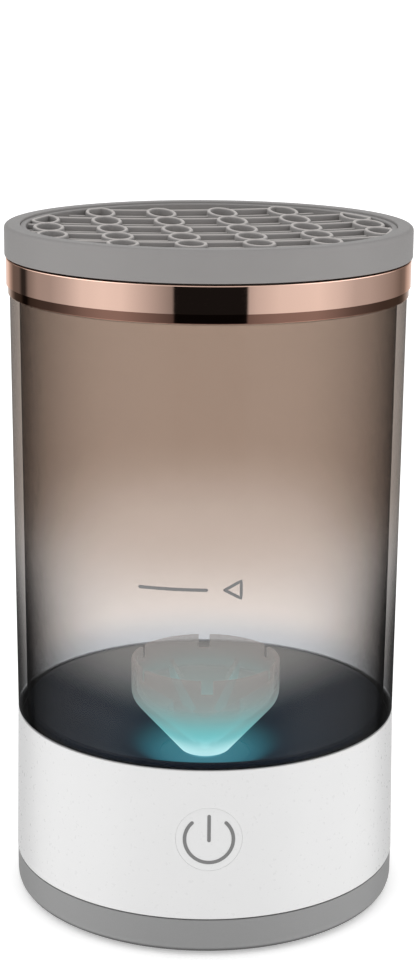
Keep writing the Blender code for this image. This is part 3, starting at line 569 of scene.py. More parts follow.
def glowing_cup():
    """Hazy smoke-grey plastic with a painted glow: grey all over, and teal rising from its foot, most on the
    faces that don't look up.
    """
    g = material_graph("glowing_cup")
    height = g.axis("Z")
    cloud = g.noise(0.15, 2.0)
    # Painted light: the cup glows teal near its foot and a dim grey elsewhere, though it is no lamp.
    teal = g.mix(g.fall(height, 33.0, 40.0), (0.10, 0.74, 0.78), (0.80, 1.30, 1.30))
    outside = g.span(g.upwardness(), -0.2, 0.3, 1.0, 0.25)
    painted_glow_share = g.math("MULTIPLY", g.fall(height, 33.0, 54.0), outside)
    g.set(
        Base_Color=g.mix(cloud, (0.27, 0.265, 0.265), (0.33, 0.325, 0.32)),
        Roughness=g.spread(cloud, 0.30, 0.40),
        Emission_Color=g.mix(painted_glow_share, (0.26, 0.25, 0.245), teal),
        Emission_Strength=1.0,
    )
    g.see_through(g.span(height, 34.0, 54.0, 0.80, 0.40), grey(0.93), g.shader.outputs[0])
    return g.owner


def brushed(name, dark, light, roughness):
    """Turned or brushed metal."""
    g = material_graph(name)
    marks = g.noise(1.5, 3.0, (0.4, 0.4, 5.0))
    g.set(
        Base_Color=g.mix(marks, dark, light),
        Metallic=1.0,
        Roughness=g.spread(marks, roughness - 0.06, roughness + 0.08),
        Normal=g.bump(marks, 0.15, 0.03),
    )
    return g.owner


def circuit_board():
    """Green solder mask over a pattern of tracks."""
    g = material_graph("circuit_board")
    cells = g.add("ShaderNodeTexVoronoi", {"Vector": g.place(), "Scale": 0.55}, distance="MANHATTAN")
    tracks = g.span(cells.outputs["Distance"], 0.44, 0.50)
    g.set(
        Base_Color=g.mix(tracks, (0.012, 0.16, 0.070), (0.030, 0.28, 0.12)),
        Roughness=g.span(tracks, 0.0, 1.0, 0.42, 0.30),
        Normal=g.bump(tracks, 0.4, 0.05),
    )
    return g.owner


def pale_floor():
    """The studio's matt, almost white floor, which glows a little so that it stays pale."""
    g = material_graph("pale_floor")
    g.set(
        Base_Color=g.mix(g.noise(0.02, 2.0), grey(0.90), grey(0.94)),
        Roughness=0.9,
        Emission_Color=grey(1.0),
        Emission_Strength=0.35,
    )
    return g.owner


MATERIALS = {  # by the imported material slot, where there is one
    "helper": bpy.data.materials.new("helper"),
    "lid_silicone": moulded("lid_silicone", *SILICONE_GREYS, 0.52, grain=3.0, bump=0.3),
    "web": web_silicone(),
    "rose_gold": rose_gold(),
    "smoked_clear": smoked_tank(),
    "dark_navy": glowing_floor(),
    "glow_lens": lit_window(),
    "impeller_smoke": glowing_cup(),
    "white_gloss": moulded("white_shell", grey(0.675), grey(0.70), 0.32, grain=1.0, bump=0.004, coat=0.2),
    "foot_grey": cover_grey(),
    "mark": moulded("printed_grey", grey(0.16), grey(0.20), 0.45, grain=4.0, bump=0.1),
    "black_rubber": moulded("black_rubber", grey(0.022), grey(0.045), 0.75, grain=3.0, bump=0.5),
    "black_plastic": moulded("black_plastic", (0.025, 0.025, 0.028), (0.045, 0.045, 0.048), 0.45, 3.0, 0.3),
    "magnet_grey": moulded("sintered_magnet", (0.09, 0.09, 0.10), (0.15, 0.15, 0.16), 0.62, 4.0, 0.6),
    "cell_wrap": moulded("cell_wrap", (0.030, 0.12, 0.42), (0.045, 0.17, 0.52), 0.28, 1.0, 0.15, coat=0.4),
    "red_wire": moulded("wire_insulation", (0.42, 0.02, 0.02), (0.55, 0.04, 0.03), 0.45, 2.0, 0.2),
    "steel": brushed("bright_steel", (0.50, 0.50, 0.51), (0.68, 0.68, 0.69), 0.30),
    "bronze": brushed("sintered_bronze", (0.42, 0.26, 0.11), (0.60, 0.40, 0.19), 0.42),
    "copper": brushed("commutator_copper", (0.62, 0.30, 0.17), (0.80, 0.44, 0.27), 0.30),
    "board_green": circuit_board(),
    "studio": pale_floor(),
}


def finish_cad_nodes():
    """Gives every CAD node the material of its slot."""
    for part in frame["record"]["subparts"]:
        node = frame["nodes"][part["node"]]
        node.data.materials.clear()
        node.data.materials.append(MATERIALS[part["material_slot"]])


# ---------------- lid


def lid_rim():
    """The lid's solid rim: a flat ring with a skirt that plugs into the tank's mouth."""
    inner = WEB_RADIUS + GAP
    skirt_outer = 43.35 * MM
    skirt_inner = 41.5 * MM
    ledge = WEB_BOTTOM - GAP
    corners = [
        (LID_RADIUS, LID_BOTTOM, 0.35 * MM),
        (LID_RADIUS, LID_TOP, 1.1 * MM),
        (inner, LID_TOP, 0.3 * MM),
        (inner, ledge, 0),
        (skirt_inner, ledge, 0.3 * MM),
        (skirt_inner, SKIRT_BOTTOM, 0.4 * MM),
        (skirt_outer, SKIRT_BOTTOM, 0.4 * MM),
        (skirt_outer, LID_BOTTOM, 0),
    ]
    piece = lathe("lid_rim_moulding", corners, "lid_silicone", steps=192, fillet_steps=6)
    mount(piece, "lid", "lid_silicone", "lid_rim")


def row_y(row, x):
    """The bowed middle line of a row of sleeves, or of a rib between rows, before the lid's turn."""
    return MIDDLE_ROW_Y + ROW_PITCH * row + ROW_SPREAD * row * row + ROW_BOW * x * x


def sleeve_places():
    """(x, y, half length, row) of each sleeve: six columns of five, but only three in the outer columns."""
    found = []
    for column in (-2.5, -1.5, -0.5, 0.5, 1.5, 2.5):
        for row in (-1, 0, 1) if abs(column) > 2 else (-2, -1, 0, 1, 2):
            x = COLUMN_CENTRE_X + column * COLUMN_PITCH + column * column * COLUMN_DRIFT
            half_length = ROW_PITCH / 2 + ROW_SPREAD * row + SLEEVE_OVERLAP
            found.append((x, row_y(row, x), half_length, row))
    return found


def lip_section(half_width, low, high):
    """Cross-section of a thin upright wall with a round lip: (offset across the wall, z)."""
    steps = 6
    section = [(half_width, low)]
    for i in range(steps + 1):
        a = math.pi * i / steps
        section.append((half_width * math.cos(a), high - half_width + half_width * math.sin(a)))
    section.append((-half_width, low))
    return section


def sweep(bm, path, section, closed):
    """Sweeps a section of (offset, z) along a level path, with the offset square to the path."""
    count = len(path)
    rings = []
    for i, (x, y) in enumerate(path):
        ahead = path[(i + 1) % count] if closed else path[min(i + 1, count - 1)]
        behind = path[i - 1] if closed else path[max(i - 1, 0)]
        along = Vector((ahead[0] - behind[0], ahead[1] - behind[1])).normalized()
        rings.append([bm.verts.new((x + along.y * offset, y - along.x * offset, z)) for offset, z in section])
    pairs = list(zip(rings, rings[1:])) + ([(rings[-1], rings[0])] if closed else [])
    corners = len(section)
    for near, far in pairs:
        for i in range(corners):
            j = (i + 1) % corners
            bm.faces.new((near[i], near[j], far[j], far[i]))
    if not closed:
        bm.faces.new(rings[0])
        bm.faces.new(rings[-1])


def add_sleeve(bm, x, y, half_length):
    """One oval sleeve. Where it meets the hoop it is pressed in, so its wall runs along the hoop."""
    half_wall = SLEEVE_WALL / 2
    a = SLEEVE_HALF_WIDTH - half_wall
    b = half_length - half_wall
    limit = WEB_RADIUS - HOOP_WIDTH - 0.1 * MM
    steps = 64
    path = []
    for i in range(steps):
        turn = 2 * math.pi * i / steps
        point = Vector((x + a * math.cos(turn), y + b * math.sin(turn)))
        if point.length > limit:
            point *= limit / point.length
        path.append((point.x, point.y))
    sweep(bm, path, lip_section(half_wall, WEB_BOTTOM, WEB_TOP), closed=True)


def add_rib(bm, row, start, end, width, high):
    """One bowed rib of a row, from x = start to x = end."""
    count = max(3, int((end - start) / (2.5 * MM)))
    xs = [start + (end - start) * i / count for i in range(count + 1)]
    path = [(x, row_y(row, x)) for x in xs]
    sweep(bm, path, lip_section(width / 2, WEB_BOTTOM, high), closed=False)


def web_reach(row):
    """How far out in x a row's rib runs before it meets the hoop."""
    x = 0.0
    while math.hypot(x, row_y(row, x)) < WEB_RADIUS - HOOP_WIDTH / 2:
        x += 0.1 * MM
    return x


def add_short_ribs(bm, row, sleeves):
    """The ribs that run through a row, broken by its sleeves."""
    half_opening = SLEEVE_HALF_WIDTH - SLEEVE_WALL / 2
    reach = web_reach(row)
    stops = [-reach]
    for x in [place[0] for place in sleeves if place[3] == row]:
        stops += [x - half_opening, x + half_opening]
    stops.append(reach)
    for start, end in zip(stops[::2], stops[1::2]):
        if end - start > MM:
            add_rib(bm, row, start, end, 0.8 * RIB_WIDTH, WEB_TOP - 2 * RIB_STEP)


def web_hoop():
    """The ring round the web, which clips into the lid's rim."""
    inner = WEB_RADIUS - HOOP_WIDTH
    corners = [
        (HOOP_RADIUS, WEB_BOTTOM, 0),
        (HOOP_RADIUS, WEB_TOP, 0.15 * MM),
        (inner, WEB_TOP, 0.35 * MM),
        (inner, WEB_BOTTOM, 0),
    ]
    hoop = lathe("brush_web_hoop", corners, "lid_silicone")
    mount(hoop, "lid", "lid_silicone", "brush_web")


def brush_web():
    """The soft web of sleeves and ribs that holds the brushes, in its hoop."""
    bm = bmesh.new()
    sleeves = sleeve_places()
    for x, y, half_length, _ in sleeves:
        add_sleeve(bm, x, y, half_length)
    for row in (-2.5, -1.5, -0.5, 0.5, 1.5, 2.5):
        reach = web_reach(row)
        add_rib(bm, row, -reach, reach, RIB_WIDTH, WEB_TOP - RIB_STEP)
    for row in (-2, -1, 0, 1, 2):
        add_short_ribs(bm, row, sleeves)
    bmesh.ops.rotate(bm, cent=(0, 0, 0), matrix=Matrix.Rotation(LID_TURN, 3, "Z"), verts=bm.verts)
    web = finish_mesh(bm, "brush_web_sleeves", "web", sharp=50)
    mount(web, "lid", "lid_silicone", "brush_web")
    web_hoop()


# ---------------- tank


def trim_ring():
    """The plated ring: a bright upper band and, set back under it, a step on the tank's shoulder, coloured
    darker with painted shade and reflection.
    """
    inner = 45.3 * MM
    corners = [
        (inner, TRIM_STEP_BOTTOM, 0.15 * MM),
        (TRIM_STEP_RADIUS, TRIM_STEP_BOTTOM, 0.15 * MM),
        (TRIM_STEP_RADIUS, TRIM_BOTTOM, 0),
        (TRIM_RADIUS, TRIM_BOTTOM, 0),
        (TRIM_RADIUS, TRIM_TOP, 0.25 * MM),
        (inner, TRIM_TOP, 0.15 * MM),
    ]
    ring = lathe("trim_ring_band", corners, "rose_gold", steps=256)
    mount(ring, "base", "rose_gold", "trim_ring")


def tank_wall():
    """The clear wall, with a neck for the plated ring and a spigot that plugs into the casing."""
    neck = 45.0 * MM
    mouth_inner = TANK_TOP_RADIUS - TANK_WALL
    foot_inner = TANK_FOOT_RADIUS - TANK_WALL
    soft = 0.3 * MM
    corners = [
        (TANK_FOOT_RADIUS, TANK_FOOT, soft),
        (TANK_TOP_RADIUS, TANK_SHOULDER, soft),
        (neck, TANK_SHOULDER, 0),
        (neck, TANK_TOP, soft),
        (mouth_inner, TANK_TOP, soft),
        (mouth_inner, TANK_SHOULDER, 0),
        (foot_inner, TANK_FOOT, 0),
        (foot_inner, TANK_SPIGOT_BOTTOM, 0),
        (SPIGOT_RADIUS, TANK_SPIGOT_BOTTOM, 0),
        (SPIGOT_RADIUS, TANK_FOOT, 0),
    ]
    wall = lathe("tank_wall_smoked", corners, "smoked_clear", steps=256)
    mount(wall, "base", "smoked_clear", "tank_wall")


def floor_corners():
    """The funnel's outline. Its rim stands higher than the CAD's, to close the joint with the tank's wall."""
    rim = FLOOR_RIM + 0.8 * MM
    flange_top = 42.3 * MM
    flange_bottom = 40.3 * MM
    wall_outer = 43.15 * MM
    wall_inner = 41.8 * MM
    level_middle = 12.6 * MM
    seat = LENS_RADIUS + 0.04 * MM
    seat_floor = FLOOR_CENTRE - 1.7 * MM
    opening = 9.0 * MM
    underside = 29.1 * MM
    under_middle = 13.5 * MM
    return [
        (SPIGOT_RADIUS, flange_bottom, 0),
        (SPIGOT_RADIUS, flange_top, 0),
        (wall_outer, flange_top, 0),
        (wall_outer, rim, 0.1 * MM),
        (wall_inner, rim, 0.1 * MM),
        (level_middle, FLOOR_CENTRE, 2.0 * MM),
        (seat, FLOOR_CENTRE, 0.05 * MM),
        (seat, seat_floor, 0),
        (opening, seat_floor, 0),
        (opening, underside, 0),
        (under_middle, underside, 0),
        (wall_inner, flange_bottom, 0),
    ]


def tank_floor():
    """The funnel-shaped floor, with three bosses under it for the motor's bracket."""
    boss_radius = 2.8 * MM
    boss_bottom = low_of("tank_floor").z
    pilot_radius = 1.1 * MM
    pilot_top = 30.4 * MM
    floor = lathe("tank_floor_funnel", floor_corners(), "dark_navy")
    places = circle_places(16.5 * MM, 3, 90)
    bosses = [upright(boss_radius, boss_bottom, FLOOR_CENTRE, x, y) for x, y, _ in places]
    pilots = [upright(pilot_radius, boss_bottom - MM, pilot_top, x, y) for x, y, _ in places]
    combine(floor, bosses, "UNION")
    combine(floor, pilots, "DIFFERENCE")
    mount(floor, "base", "dark_navy", "tank_floor")


def glow_lens():
    """The teal window: a disc with a bored boss under it for the shaft."""
    disc_bottom = LENS_TOP - 1.2 * MM
    boss_bottom = low_of("glow_lens").z
    boss = 4.2 * MM
    bore = 2.6 * MM
    corners = [
        (bore, boss_bottom, 0),
        (boss, boss_bottom, 0.2 * MM),
        (boss, disc_bottom, 0),
        (LENS_RADIUS, disc_bottom, 0),
        (LENS_RADIUS, LENS_TOP, 0.05 * MM),
        (bore, LENS_TOP, 0.2 * MM),
    ]
    window = lathe("glow_window", corners, "glow_lens", MEDIUM)
    mount(window, "base", "glow_lens", "glow_lens")


def impeller_vane(turn):
    """One vane from the hub to the cup's wall."""
    root, tip = 2.4 * MM, 17.2 * MM
    outline = [(root, 33.0 * MM), (tip, 46.8 * MM), (tip, 51.0 * MM), (root, 41.2 * MM)]
    return plate(outline, 0.6 * MM, turn)


def impeller_cup():
    """The cup on its hub, with a blind bore for the shaft."""
    inner = IMPELLER_RADIUS - IMPELLER_WALL
    bore = 1.06 * MM
    bore_top = 40.6 * MM
    hub = 3.2 * MM
    hub_top = 42.0 * MM
    foot = 5.8 * MM
    soft = 0.4 * MM
    bend = 2.0 * MM
    corners = [
        (0, bore_top, 0),
        (bore, bore_top, 0),
        (bore, IMPELLER_FOOT, 0),
        (foot, IMPELLER_FOOT, soft),
        (IMPELLER_RADIUS, IMPELLER_SHOULDER, bend),
        (IMPELLER_RADIUS, IMPELLER_TOP, soft),
        (inner, IMPELLER_TOP, soft),
        (inner, IMPELLER_SHOULDER + 0.5 * MM, bend),
        (hub, IMPELLER_FOOT + 2.0 * MM, soft),
        (hub, hub_top, soft),
        (0, hub_top, 0),
    ]
    return lathe("impeller_cup", corners, "impeller_smoke", steps=96)


def impeller():
    """The cup with its vanes, and with a notch in its rim between each two of them."""
    half_notch = 1.4 * MM
    notch_low = (IMPELLER_RADIUS - IMPELLER_WALL - 2 * MM, -half_notch, 52.5 * MM)
    notch_high = (IMPELLER_RADIUS + MM, half_notch, 57.0 * MM)
    turns = [2 * math.pi * i / IMPELLER_VANES - math.pi / 2 for i in range(IMPELLER_VANES)]
    cup = impeller_cup()
    combine(cup, [impeller_vane(turn + math.pi / IMPELLER_VANES) for turn in turns], "UNION")
    combine(cup, [box(notch_low, notch_high, turn) for turn in turns], "DIFFERENCE")
    mount(cup, "drive", "impeller_smoke", "impeller")


# ---------------- base


def casing_fittings():
    """The casing's bosses, and the holes and openings cut into it."""
    bosses, cutters = [], []
    for x, y, _ in BOTTOM_SCREWS:
        bosses.append(upright(4.4 * MM, 12.3 * MM, 30.0 * MM, x, y))
        cutters.append(upright(1.6 * MM, 11.0 * MM, 22.0 * MM, x, y))
    board_screw_z = BUTTON_Z + 6.3 * MM
    for x in (-9.5 * MM, 9.5 * MM):
        bosses.append(along_y(2.0 * MM, -43.0 * MM, -37.7 * MM, x, board_screw_z))
        cutters.append(along_y(0.9 * MM, -41.8 * MM, -36.8 * MM, x, board_screw_z))
    button_hole = BUTTON_RADIUS + BUTTON_CLEARANCE
    cutters.append(along_y(button_hole, -48.0 * MM, -42.0 * MM, 0, BUTTON_Z, steps=96))
    socket = (USB_HALF_WIDTH + GAP, USB_HALF_HEIGHT + GAP)
    cutters.append(stadium(*socket, 42.0 * MM, 48.0 * MM, USB_MIDDLE_Z))
    return bosses, cutters


def base_shell():
    """The white casing, with a rebate for the tank's spigot at its top."""
    rebate = SPIGOT_RADIUS + GAP
    ledge = 40.0 * MM
    corners = [
        (BASE_INNER_RADIUS, BASE_BOTTOM, 0.1 * MM),
        (BASE_FOOT_RADIUS, BASE_BOTTOM, 0.25 * MM),
        (BASE_TOP_RADIUS, BASE_TOP, 0.3 * MM),
        (rebate, BASE_TOP, 0.15 * MM),
        (rebate, ledge, 0),
        (BASE_INNER_RADIUS, ledge, 0),
    ]
    shell = lathe("base_casing", corners, "white_gloss", steps=192)
    bosses, cutters = casing_fittings()
    combine(shell, bosses, "UNION")
    combine(shell, cutters, "DIFFERENCE")
    mount(shell, "base", "white_gloss", "base_shell")


def on_cone(x, z, lift, foot, top):
    """A point on the front of a cone, given by the (radius, z) of its foot and of its top, lifted off it."""
    share = (z - foot[1]) / (top[1] - foot[1])
    radius = foot[0] + (top[0] - foot[0]) * share + lift
    return (x, -math.sqrt(radius * radius - x * x), z)


def on_casing(x, z, lift=0.0):
    return on_cone(x, z, lift, (BASE_FOOT_RADIUS, BASE_BOTTOM), (BASE_TOP_RADIUS, BASE_TOP))


def on_tank(x, z, lift):
    return on_cone(x, z, lift, (TANK_FOOT_RADIUS, TANK_FOOT), (TANK_TOP_RADIUS, TANK_SHOULDER))


def button_rings(circle):
    """The rings of points down the cap: over its face, round its edge and down to the flange's back."""
    radius = BUTTON_RADIUS + 0.12 * MM  # wider than the CAD's, to close the joint round the cap
    soft = 0.05 * MM
    flange = 8.8 * MM
    flange_front = -41.8 * MM
    flange_back = -41.1 * MM
    edge_steps = 4
    face = [(share * (radius - soft), 0.0) for share in (0.2, 0.4, 0.6, 0.8)]
    for i in range(edge_steps + 1):
        bend = math.pi / 2 * i / edge_steps
        face.append((radius - soft + soft * math.sin(bend), -soft * (1 - math.cos(bend))))
    rings = []
    for reach, lift in face:
        rings.append([on_casing(reach * x, BUTTON_Z + reach * z, lift) for x, z in circle])
    for reach, y in ((radius, flange_front), (flange, flange_front), (flange, flange_back)):
        rings.append([(reach * x, y, BUTTON_Z + reach * z) for x, z in circle])
    return rings


def power_button():
    """A round cap whose face follows the casing and rounds over into its sides, with the flange behind it."""
    bm = bmesh.new()
    steps = 96
    turns = [2 * math.pi * i / steps for i in range(steps)]
    circle = [(math.cos(a), math.sin(a)) for a in turns]
    rings = [[bm.verts.new(point) for point in ring] for ring in button_rings(circle)]
    centre = bm.verts.new(on_casing(0, BUTTON_Z))
    for j in range(steps):
        k = (j + 1) % steps
        bm.faces.new((centre, rings[0][j], rings[0][k]))
        for near, far in zip(rings, rings[1:]):
            bm.faces.new((near[j], near[k], far[k], far[j]))
    bm.faces.new(rings[-1])
    cap = finish_mesh(bm, "power_button_cap", "white_gloss", sharp=40)
    mount(cap, "button", "white_gloss", "power_button")


END_POINTS = 7  # round each end of a printed line, between its two sides


def line_outline(points, half_width):
    """The outline of a round-ended line: its left side, far end, right side backwards and near end."""
    left, right = [], []
    for i, p in enumerate(points):
        ahead = points[min(i + 1, len(points) - 1)]
        behind = points[max(i - 1, 0)]
        along = (ahead - behind).normalized()
        across = Vector((-along.y, along.x)) * half_width
        left.append(p + across)
        right.append(p - across)
    ends = []
    for p, along in ((points[-1], points[-1] - points[-2]), (points[0], points[0] - points[1])):
        first = math.atan2(along.y, along.x) + math.pi / 2
        turns = [first - math.pi * i / (END_POINTS + 1) for i in range(1, END_POINTS + 1)]
        ends.append([p + Vector((math.cos(a), math.sin(a))) * half_width for a in turns])
    return left + ends[0] + right[::-1] + ends[1]


def fill_line(bm, edge, spine):
    """Fills one layer of a line: two quads to each stretch of its spine, and a fan at each end."""
    last = len(spine) - 1
    opposite = 2 * last + END_POINTS + 1
    for i in range(last):
        j = opposite - i
        bm.faces.new((edge[i], edge[i + 1], spine[i + 1], spine[i]))
        bm.faces.new((spine[i], spine[i + 1], edge[j - 1], edge[j]))
    far_end = edge[last : last + END_POINTS + 2]
    near_end = edge[-END_POINTS - 1 :] + edge[:1]
    for middle, end in ((spine[-1], far_end), (spine[0], near_end)):
        for a, b in zip(end, end[1:]):
            bm.faces.new((middle, a, b))


def printed_line(name, path, half_width, surface):
    """A printed line with round ends, as a thin closed strip that follows surface(x, z, lift)."""
    bm = bmesh.new()
    half_thickness = 0.05 * MM
    spine = [Vector(p) for p in path]
    outline = line_outline(spine, half_width)
    layers = []
    for lift in (half_thickness, -half_thickness):
        layers.append([bm.verts.new(surface(p.x, p.y, lift)) for p in outline])
        fill_line(bm, layers[-1], [bm.verts.new(surface(p.x, p.y, lift)) for p in spine])
    top, bottom = layers
    for i in range(len(outline)):
        j = (i + 1) % len(outline)
        bm.faces.new((top[i], top[j], bottom[j], bottom[i]))
    return finish_mesh(bm, name, "mark", sharp=30)


def power_icon():
    """The usual power symbol: an open ring with a bar in its gap."""
    radius = 5.5 * MM
    half_width = 0.4 * MM
    half_gap = math.radians(44)
    count = 48
    step = 2 * (math.pi - half_gap) / count
    turns = [math.pi / 2 + half_gap + step * i for i in range(count + 1)]
    ring = [(radius * math.cos(a), BUTTON_Z + radius * math.sin(a)) for a in turns]
    bar = [(0.0, BUTTON_Z - 0.2 * MM + 1.15 * MM * i) for i in range(6)]
    for name, path in (("power_icon_ring", ring), ("power_icon_bar", bar)):
        mount(printed_line(name, path, half_width, on_casing), "button", "foot_grey")


def level_mark():
    """The fill line on the tank's front, with a plain arrow that points at it."""
    level = 87.2 * MM
    line = [(-15.5 * MM + 1.45 * MM * i, level) for i in range(11)]
    mount(printed_line("level_mark_line", line, 0.36 * MM, on_tank), "base", "foot_grey")
    tip_x = 3.0 * MM
    back_x = tip_x + 3.6 * MM
    half = 2.0 * MM
    corners = [(tip_x, level), (back_x, level + half), (back_x, level - half), (tip_x, level)]
    side_steps = 6
    arrow = []
    for (x0, z0), (x1, z1) in zip(corners, corners[1:]):
        shares = [i / side_steps for i in range(side_steps)]
        arrow += [(x0 + (x1 - x0) * share, z0 + (z1 - z0) * share) for share in shares]
    arrow.append(corners[-1])
    mount(printed_line("level_mark_arrow", arrow, 0.33 * MM, on_tank), "base", "foot_grey")


def cover_corners():
    """The bottom cover's outline, with a groove for the rubber ring and a spigot to plug into the casing."""
    groove = COVER_BOTTOM + 0.8 * MM
    groove_inner = PAD_INNER - GAP
    groove_outer = PAD_RADIUS + GAP
    inside = COVER_BOTTOM + 2.0 * MM
    spigot_outer = BASE_INNER_RADIUS - GAP
    spigot_inner = spigot_outer - 1.2 * MM
    soft = 0.2 * MM
    return [
        (0, COVER_BOTTOM, 0),
        (groove_inner, COVER_BOTTOM, soft),
        (groove_inner, groove, 0),
        (groove_outer, groove, 0),
        (groove_outer, COVER_BOTTOM, soft),
        (COVER_RADIUS, COVER_BOTTOM, 2.6 * MM),
        (COVER_RADIUS, COVER_TOP, soft),
        (spigot_outer, COVER_TOP, 0),
        (spigot_outer, COVER_SPIGOT_TOP, soft),
        (spigot_inner, COVER_SPIGOT_TOP, soft),
        (spigot_inner, inside, 0.3 * MM),
        (0, inside, 0),
    ]


def cover_fittings():
    """The cover's screw pillars, board posts and cell saddles, and the holes and openings cut into it."""
    root = 2.0 * MM  # within the cover's floor
    shapes, cutters = [], []
    for x, y, _ in BOTTOM_SCREWS:
        shapes.append(upright(3.7 * MM, root, 11.5 * MM, x, y))
        cutters.append(upright(2.8 * MM, 0.0, 5.2 * MM, x, y, steps=48))
        cutters.append(upright(1.7 * MM, 4.0 * MM, 13.0 * MM, x, y))
    for x, y in POWER_BOARD_SCREWS:
        shapes.append(upright(2.2 * MM, root, 9.8 * MM, x, y))
        cutters.append(upright(0.9 * MM, 4.8 * MM, 10.5 * MM, x, y))
    cell_x, cell_z, half_saddle = -27.0 * MM, 11.6 * MM, 0.9 * MM
    for y in (-12.0 * MM, 12.0 * MM):
        low = (cell_x - 7.0 * MM, y - half_saddle, root)
        shapes.append(box(low, (cell_x + 7.0 * MM, y + half_saddle, 9.0 * MM)))
    cutters.append(along_y(7.3 * MM, -21.5 * MM, 21.5 * MM, cell_x, cell_z, steps=48))
    half_socket = 5.07 * MM
    cutters.append(box((-half_socket, 40.4 * MM, 10.1 * MM), (half_socket, 44.0 * MM, 14.0 * MM)))
    return shapes, cutters


def bottom_cover():
    """The grey foot band and floor of the base, in one moulding."""
    cover = lathe("bottom_cover_moulding", cover_corners(), "foot_grey", steps=192, fillet_steps=6)
    shapes, cutters = cover_fittings()
    combine(cover, shapes, "UNION")
    combine(cover, cutters, "DIFFERENCE")
    mount(cover, "base", "foot_grey", "bottom_cover")


def non_slip_ring():
    """The rubber foot ring with shallow grooves in its sole."""
    groove_count = 3
    sole_edge = 0.25 * MM
    top_edge = 0.1 * MM
    corners = [(PAD_INNER, PAD_TOP, top_edge), (PAD_INNER, 0.0, sole_edge)]
    for i in range(1, groove_count + 1):
        middle = PAD_INNER + (PAD_RADIUS - PAD_INNER) * i / (groove_count + 1)
        for aside, height in ((-0.5, 0.0), (-0.3, 0.3), (0.3, 0.3), (0.5, 0.0)):
            corners.append((middle + aside * MM, height * MM, 0.08 * MM))
    corners += [(PAD_RADIUS, 0.0, sole_edge), (PAD_RADIUS, PAD_TOP, top_edge)]
    ring = lathe("non_slip_foot_ring", corners, "black_rubber", fillet_steps=3)
    mount(ring, "base", "black_rubber", "non_slip_ring")


def cross_screw(name, low, high):
    """A round-headed screw that points up, with a cross slot in its head."""
    head, shank = 2.6 * MM, 1.4 * MM
    head_top = low + 1.4 * MM
    taper = 1.4 * MM
    corners = [
        (0, low, 0),
        (head, low, 0.9 * MM),
        (head, head_top, 0.1 * MM),
        (shank, head_top, 0),
        (shank, high - taper, 0.1 * MM),
        (0, high, 0),
    ]
    screw = lathe(name, corners, "steel", SMALL, fillet_steps=6)
    arm, half, depth = 1.45 * MM, 0.34 * MM, 0.65 * MM
    slots = [box((-x, -y, 0), (x, y, low + depth)) for x, y in ((arm, half), (half, arm))]
    combine(screw, slots, "DIFFERENCE")
    return screw


def bottom_screws():
    low = low_of("bottom_screw_1").z
    high = high_of("bottom_screw_1").z
    for number, (x, y, a) in enumerate(BOTTOM_SCREWS, start=1):
        screw = cross_screw(f"casing_screw_{number}", low, high)
        screw.data.transform(Matrix.Translation((x, y, 0)) @ Matrix.Rotation(a, 4, "Z"))
        mount(screw, "base", "steel", f"bottom_screw_{number}")


# ---------------- studio


def area_light(name, place, aim, size, power):
    """A square soft light, which mirrors don't show."""
    data = bpy.data.lights.new(name, "AREA")
    data.size = size
    data.energy = power
    light = bpy.data.objects.new(name, data)
    light.location = place
    light.rotation_euler = (Vector(aim) - Vector(place)).to_track_quat("-Z", "Y").to_euler()
    light.visible_glossy = False
    bpy.context.scene.collection.objects.link(light)


MIRRORED_BANDS = [  # (direction in degrees from the front, brightness) of what mirrors see level with them
    (-180, 1.00), (-159, 0.97), (-151, 0.45), (-145, 0.17), (-135, 0.15), (-131, 0.03), (-126, 0.03),
    (-122, 0.24), (-112, 0.41), (-100, 0.43), (-88, 0.60), (-76, 0.88), (-62, 0.97), (-50, 0.92),
    (-38, 0.66), (-20.6, 0.29), (-20, 0.01), (20, 0.01), (20.6, 0.55), (25, 0.68), (38, 0.88),
    (62, 0.97), (76, 0.80), (88, 0.58), (100, 0.52), (112, 0.42), (125, 0.32), (137, 0.19),
    (144, 0.25), (151, 0.60), (162, 0.90), (180, 1.00),
]
SOFT_BOXES = [  # the same in every other direction, on either side
    (0, 0.8), (40, 0.9), (60, 2.0), (100, 2.0), (125, 0.9), (130, 0.3), (150, 0.3), (165, 0.6), (180, 1.0),
]
BRIGHTEST = 2.0  # of the soft boxes
WORLD_STRENGTH = 0.95


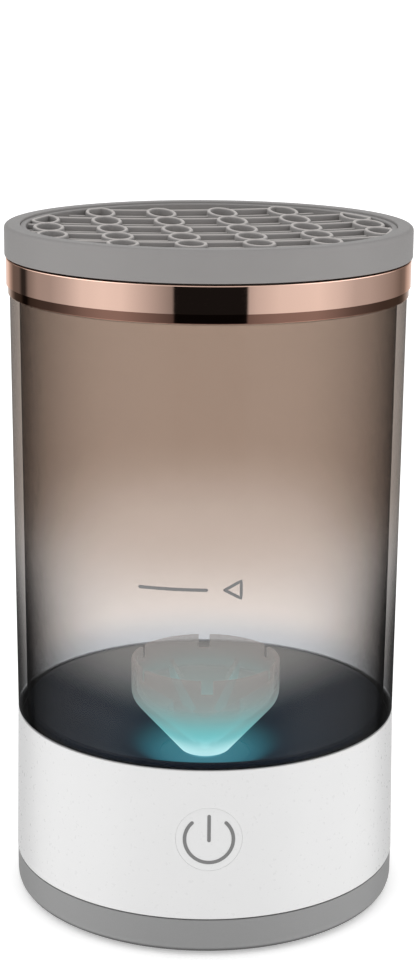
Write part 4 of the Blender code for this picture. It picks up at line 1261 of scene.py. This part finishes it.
def studio_world():
    """White all round, apart from the dark cards and soft boxes that only mirrors see."""
    world = bpy.data.worlds.new("studio")
    g = Graph(world, "Background")
    towards = g.add("ShaderNodeTexCoord").outputs["Generated"]
    split = g.add("ShaderNodeSeparateXYZ", {0: towards}).outputs
    turn = g.math("ARCTAN2", split["X"], g.math("MULTIPLY", split["Y"], -1.0))
    share = g.math("ADD", g.math("DIVIDE", turn, 2 * math.pi), 0.5)
    bands = g.ramp(share, [(0.5 + degrees / 360, level) for degrees, level in MIRRORED_BANDS])
    aside = g.math("DIVIDE", g.math("ABSOLUTE", turn), math.pi)
    boxes = g.ramp(aside, [(degrees / 180, level / BRIGHTEST) for degrees, level in SOFT_BOXES])
    level = g.math("MULTIPLY", g.span(split["Z"], -0.30, -0.25), g.fall(split["Z"], 0.0, 0.05))
    seen_level = g.math("MULTIPLY", level, bands)
    seen_elsewhere = g.math("MULTIPLY", g.math("SUBTRACT", 1.0, level), g.math("MULTIPLY", boxes, BRIGHTEST))
    mirrored = g.math("ADD", seen_level, seen_elsewhere)
    glossy = g.add("ShaderNodeLightPath").outputs["Is Glossy Ray"]
    change = g.math("MULTIPLY", glossy, g.math("SUBTRACT", mirrored, 1.0))
    strength = g.math("MULTIPLY", g.math("ADD", change, 1.0), WORLD_STRENGTH)
    g.set(Color=grey(1.0), Strength=strength)
    bpy.context.scene.world = world


def studio():
    studio_world()
    bm = bmesh.new()
    bmesh.ops.create_circle(bm, cap_ends=True, segments=64, radius=30.0)
    floor = finish_mesh(bm, "floor_sweep", "studio")
    floor.visible_glossy = False
    area_light("key", (-0.8, -0.9, 1.1), (0, 0, 0.08), size=0.8, power=1.5)
    area_light("fill", (0.9, -0.6, 0.8), (0, 0, 0.1), size=0.9, power=0.5)


def turned(degrees, axis):
    return Matrix.Rotation(math.radians(degrees), 4, axis)


def camera():
    """A long lens in front of the part, a little above its lid and pitched down."""
    pitch_down, roll, orbit = 14.23, 0.45, -1.4
    place = Matrix.Translation((0.0006, -0.469, 0.2193))
    data = bpy.data.cameras.new("camera")
    data.lens = 76.4
    data.sensor_width = 36.0
    data.clip_end = 100.0
    obj = bpy.data.objects.new("camera", data)
    obj.matrix_world = turned(orbit, "Z") @ place @ turned(90 - pitch_down, "X") @ turned(roll, "Z")
    bpy.context.scene.collection.objects.link(obj)
    bpy.context.scene.camera = obj


def main():
    finish_cad_nodes()
    lid_rim()
    brush_web()
    trim_ring()
    tank_wall()
    tank_floor()
    glow_lens()
    impeller()
    base_shell()
    power_button()
    power_icon()
    level_mark()
    bottom_cover()
    non_slip_ring()
    bottom_screws()
    studio()
    camera()
    bpy.context.scene.view_settings.view_transform = "Standard"


main()
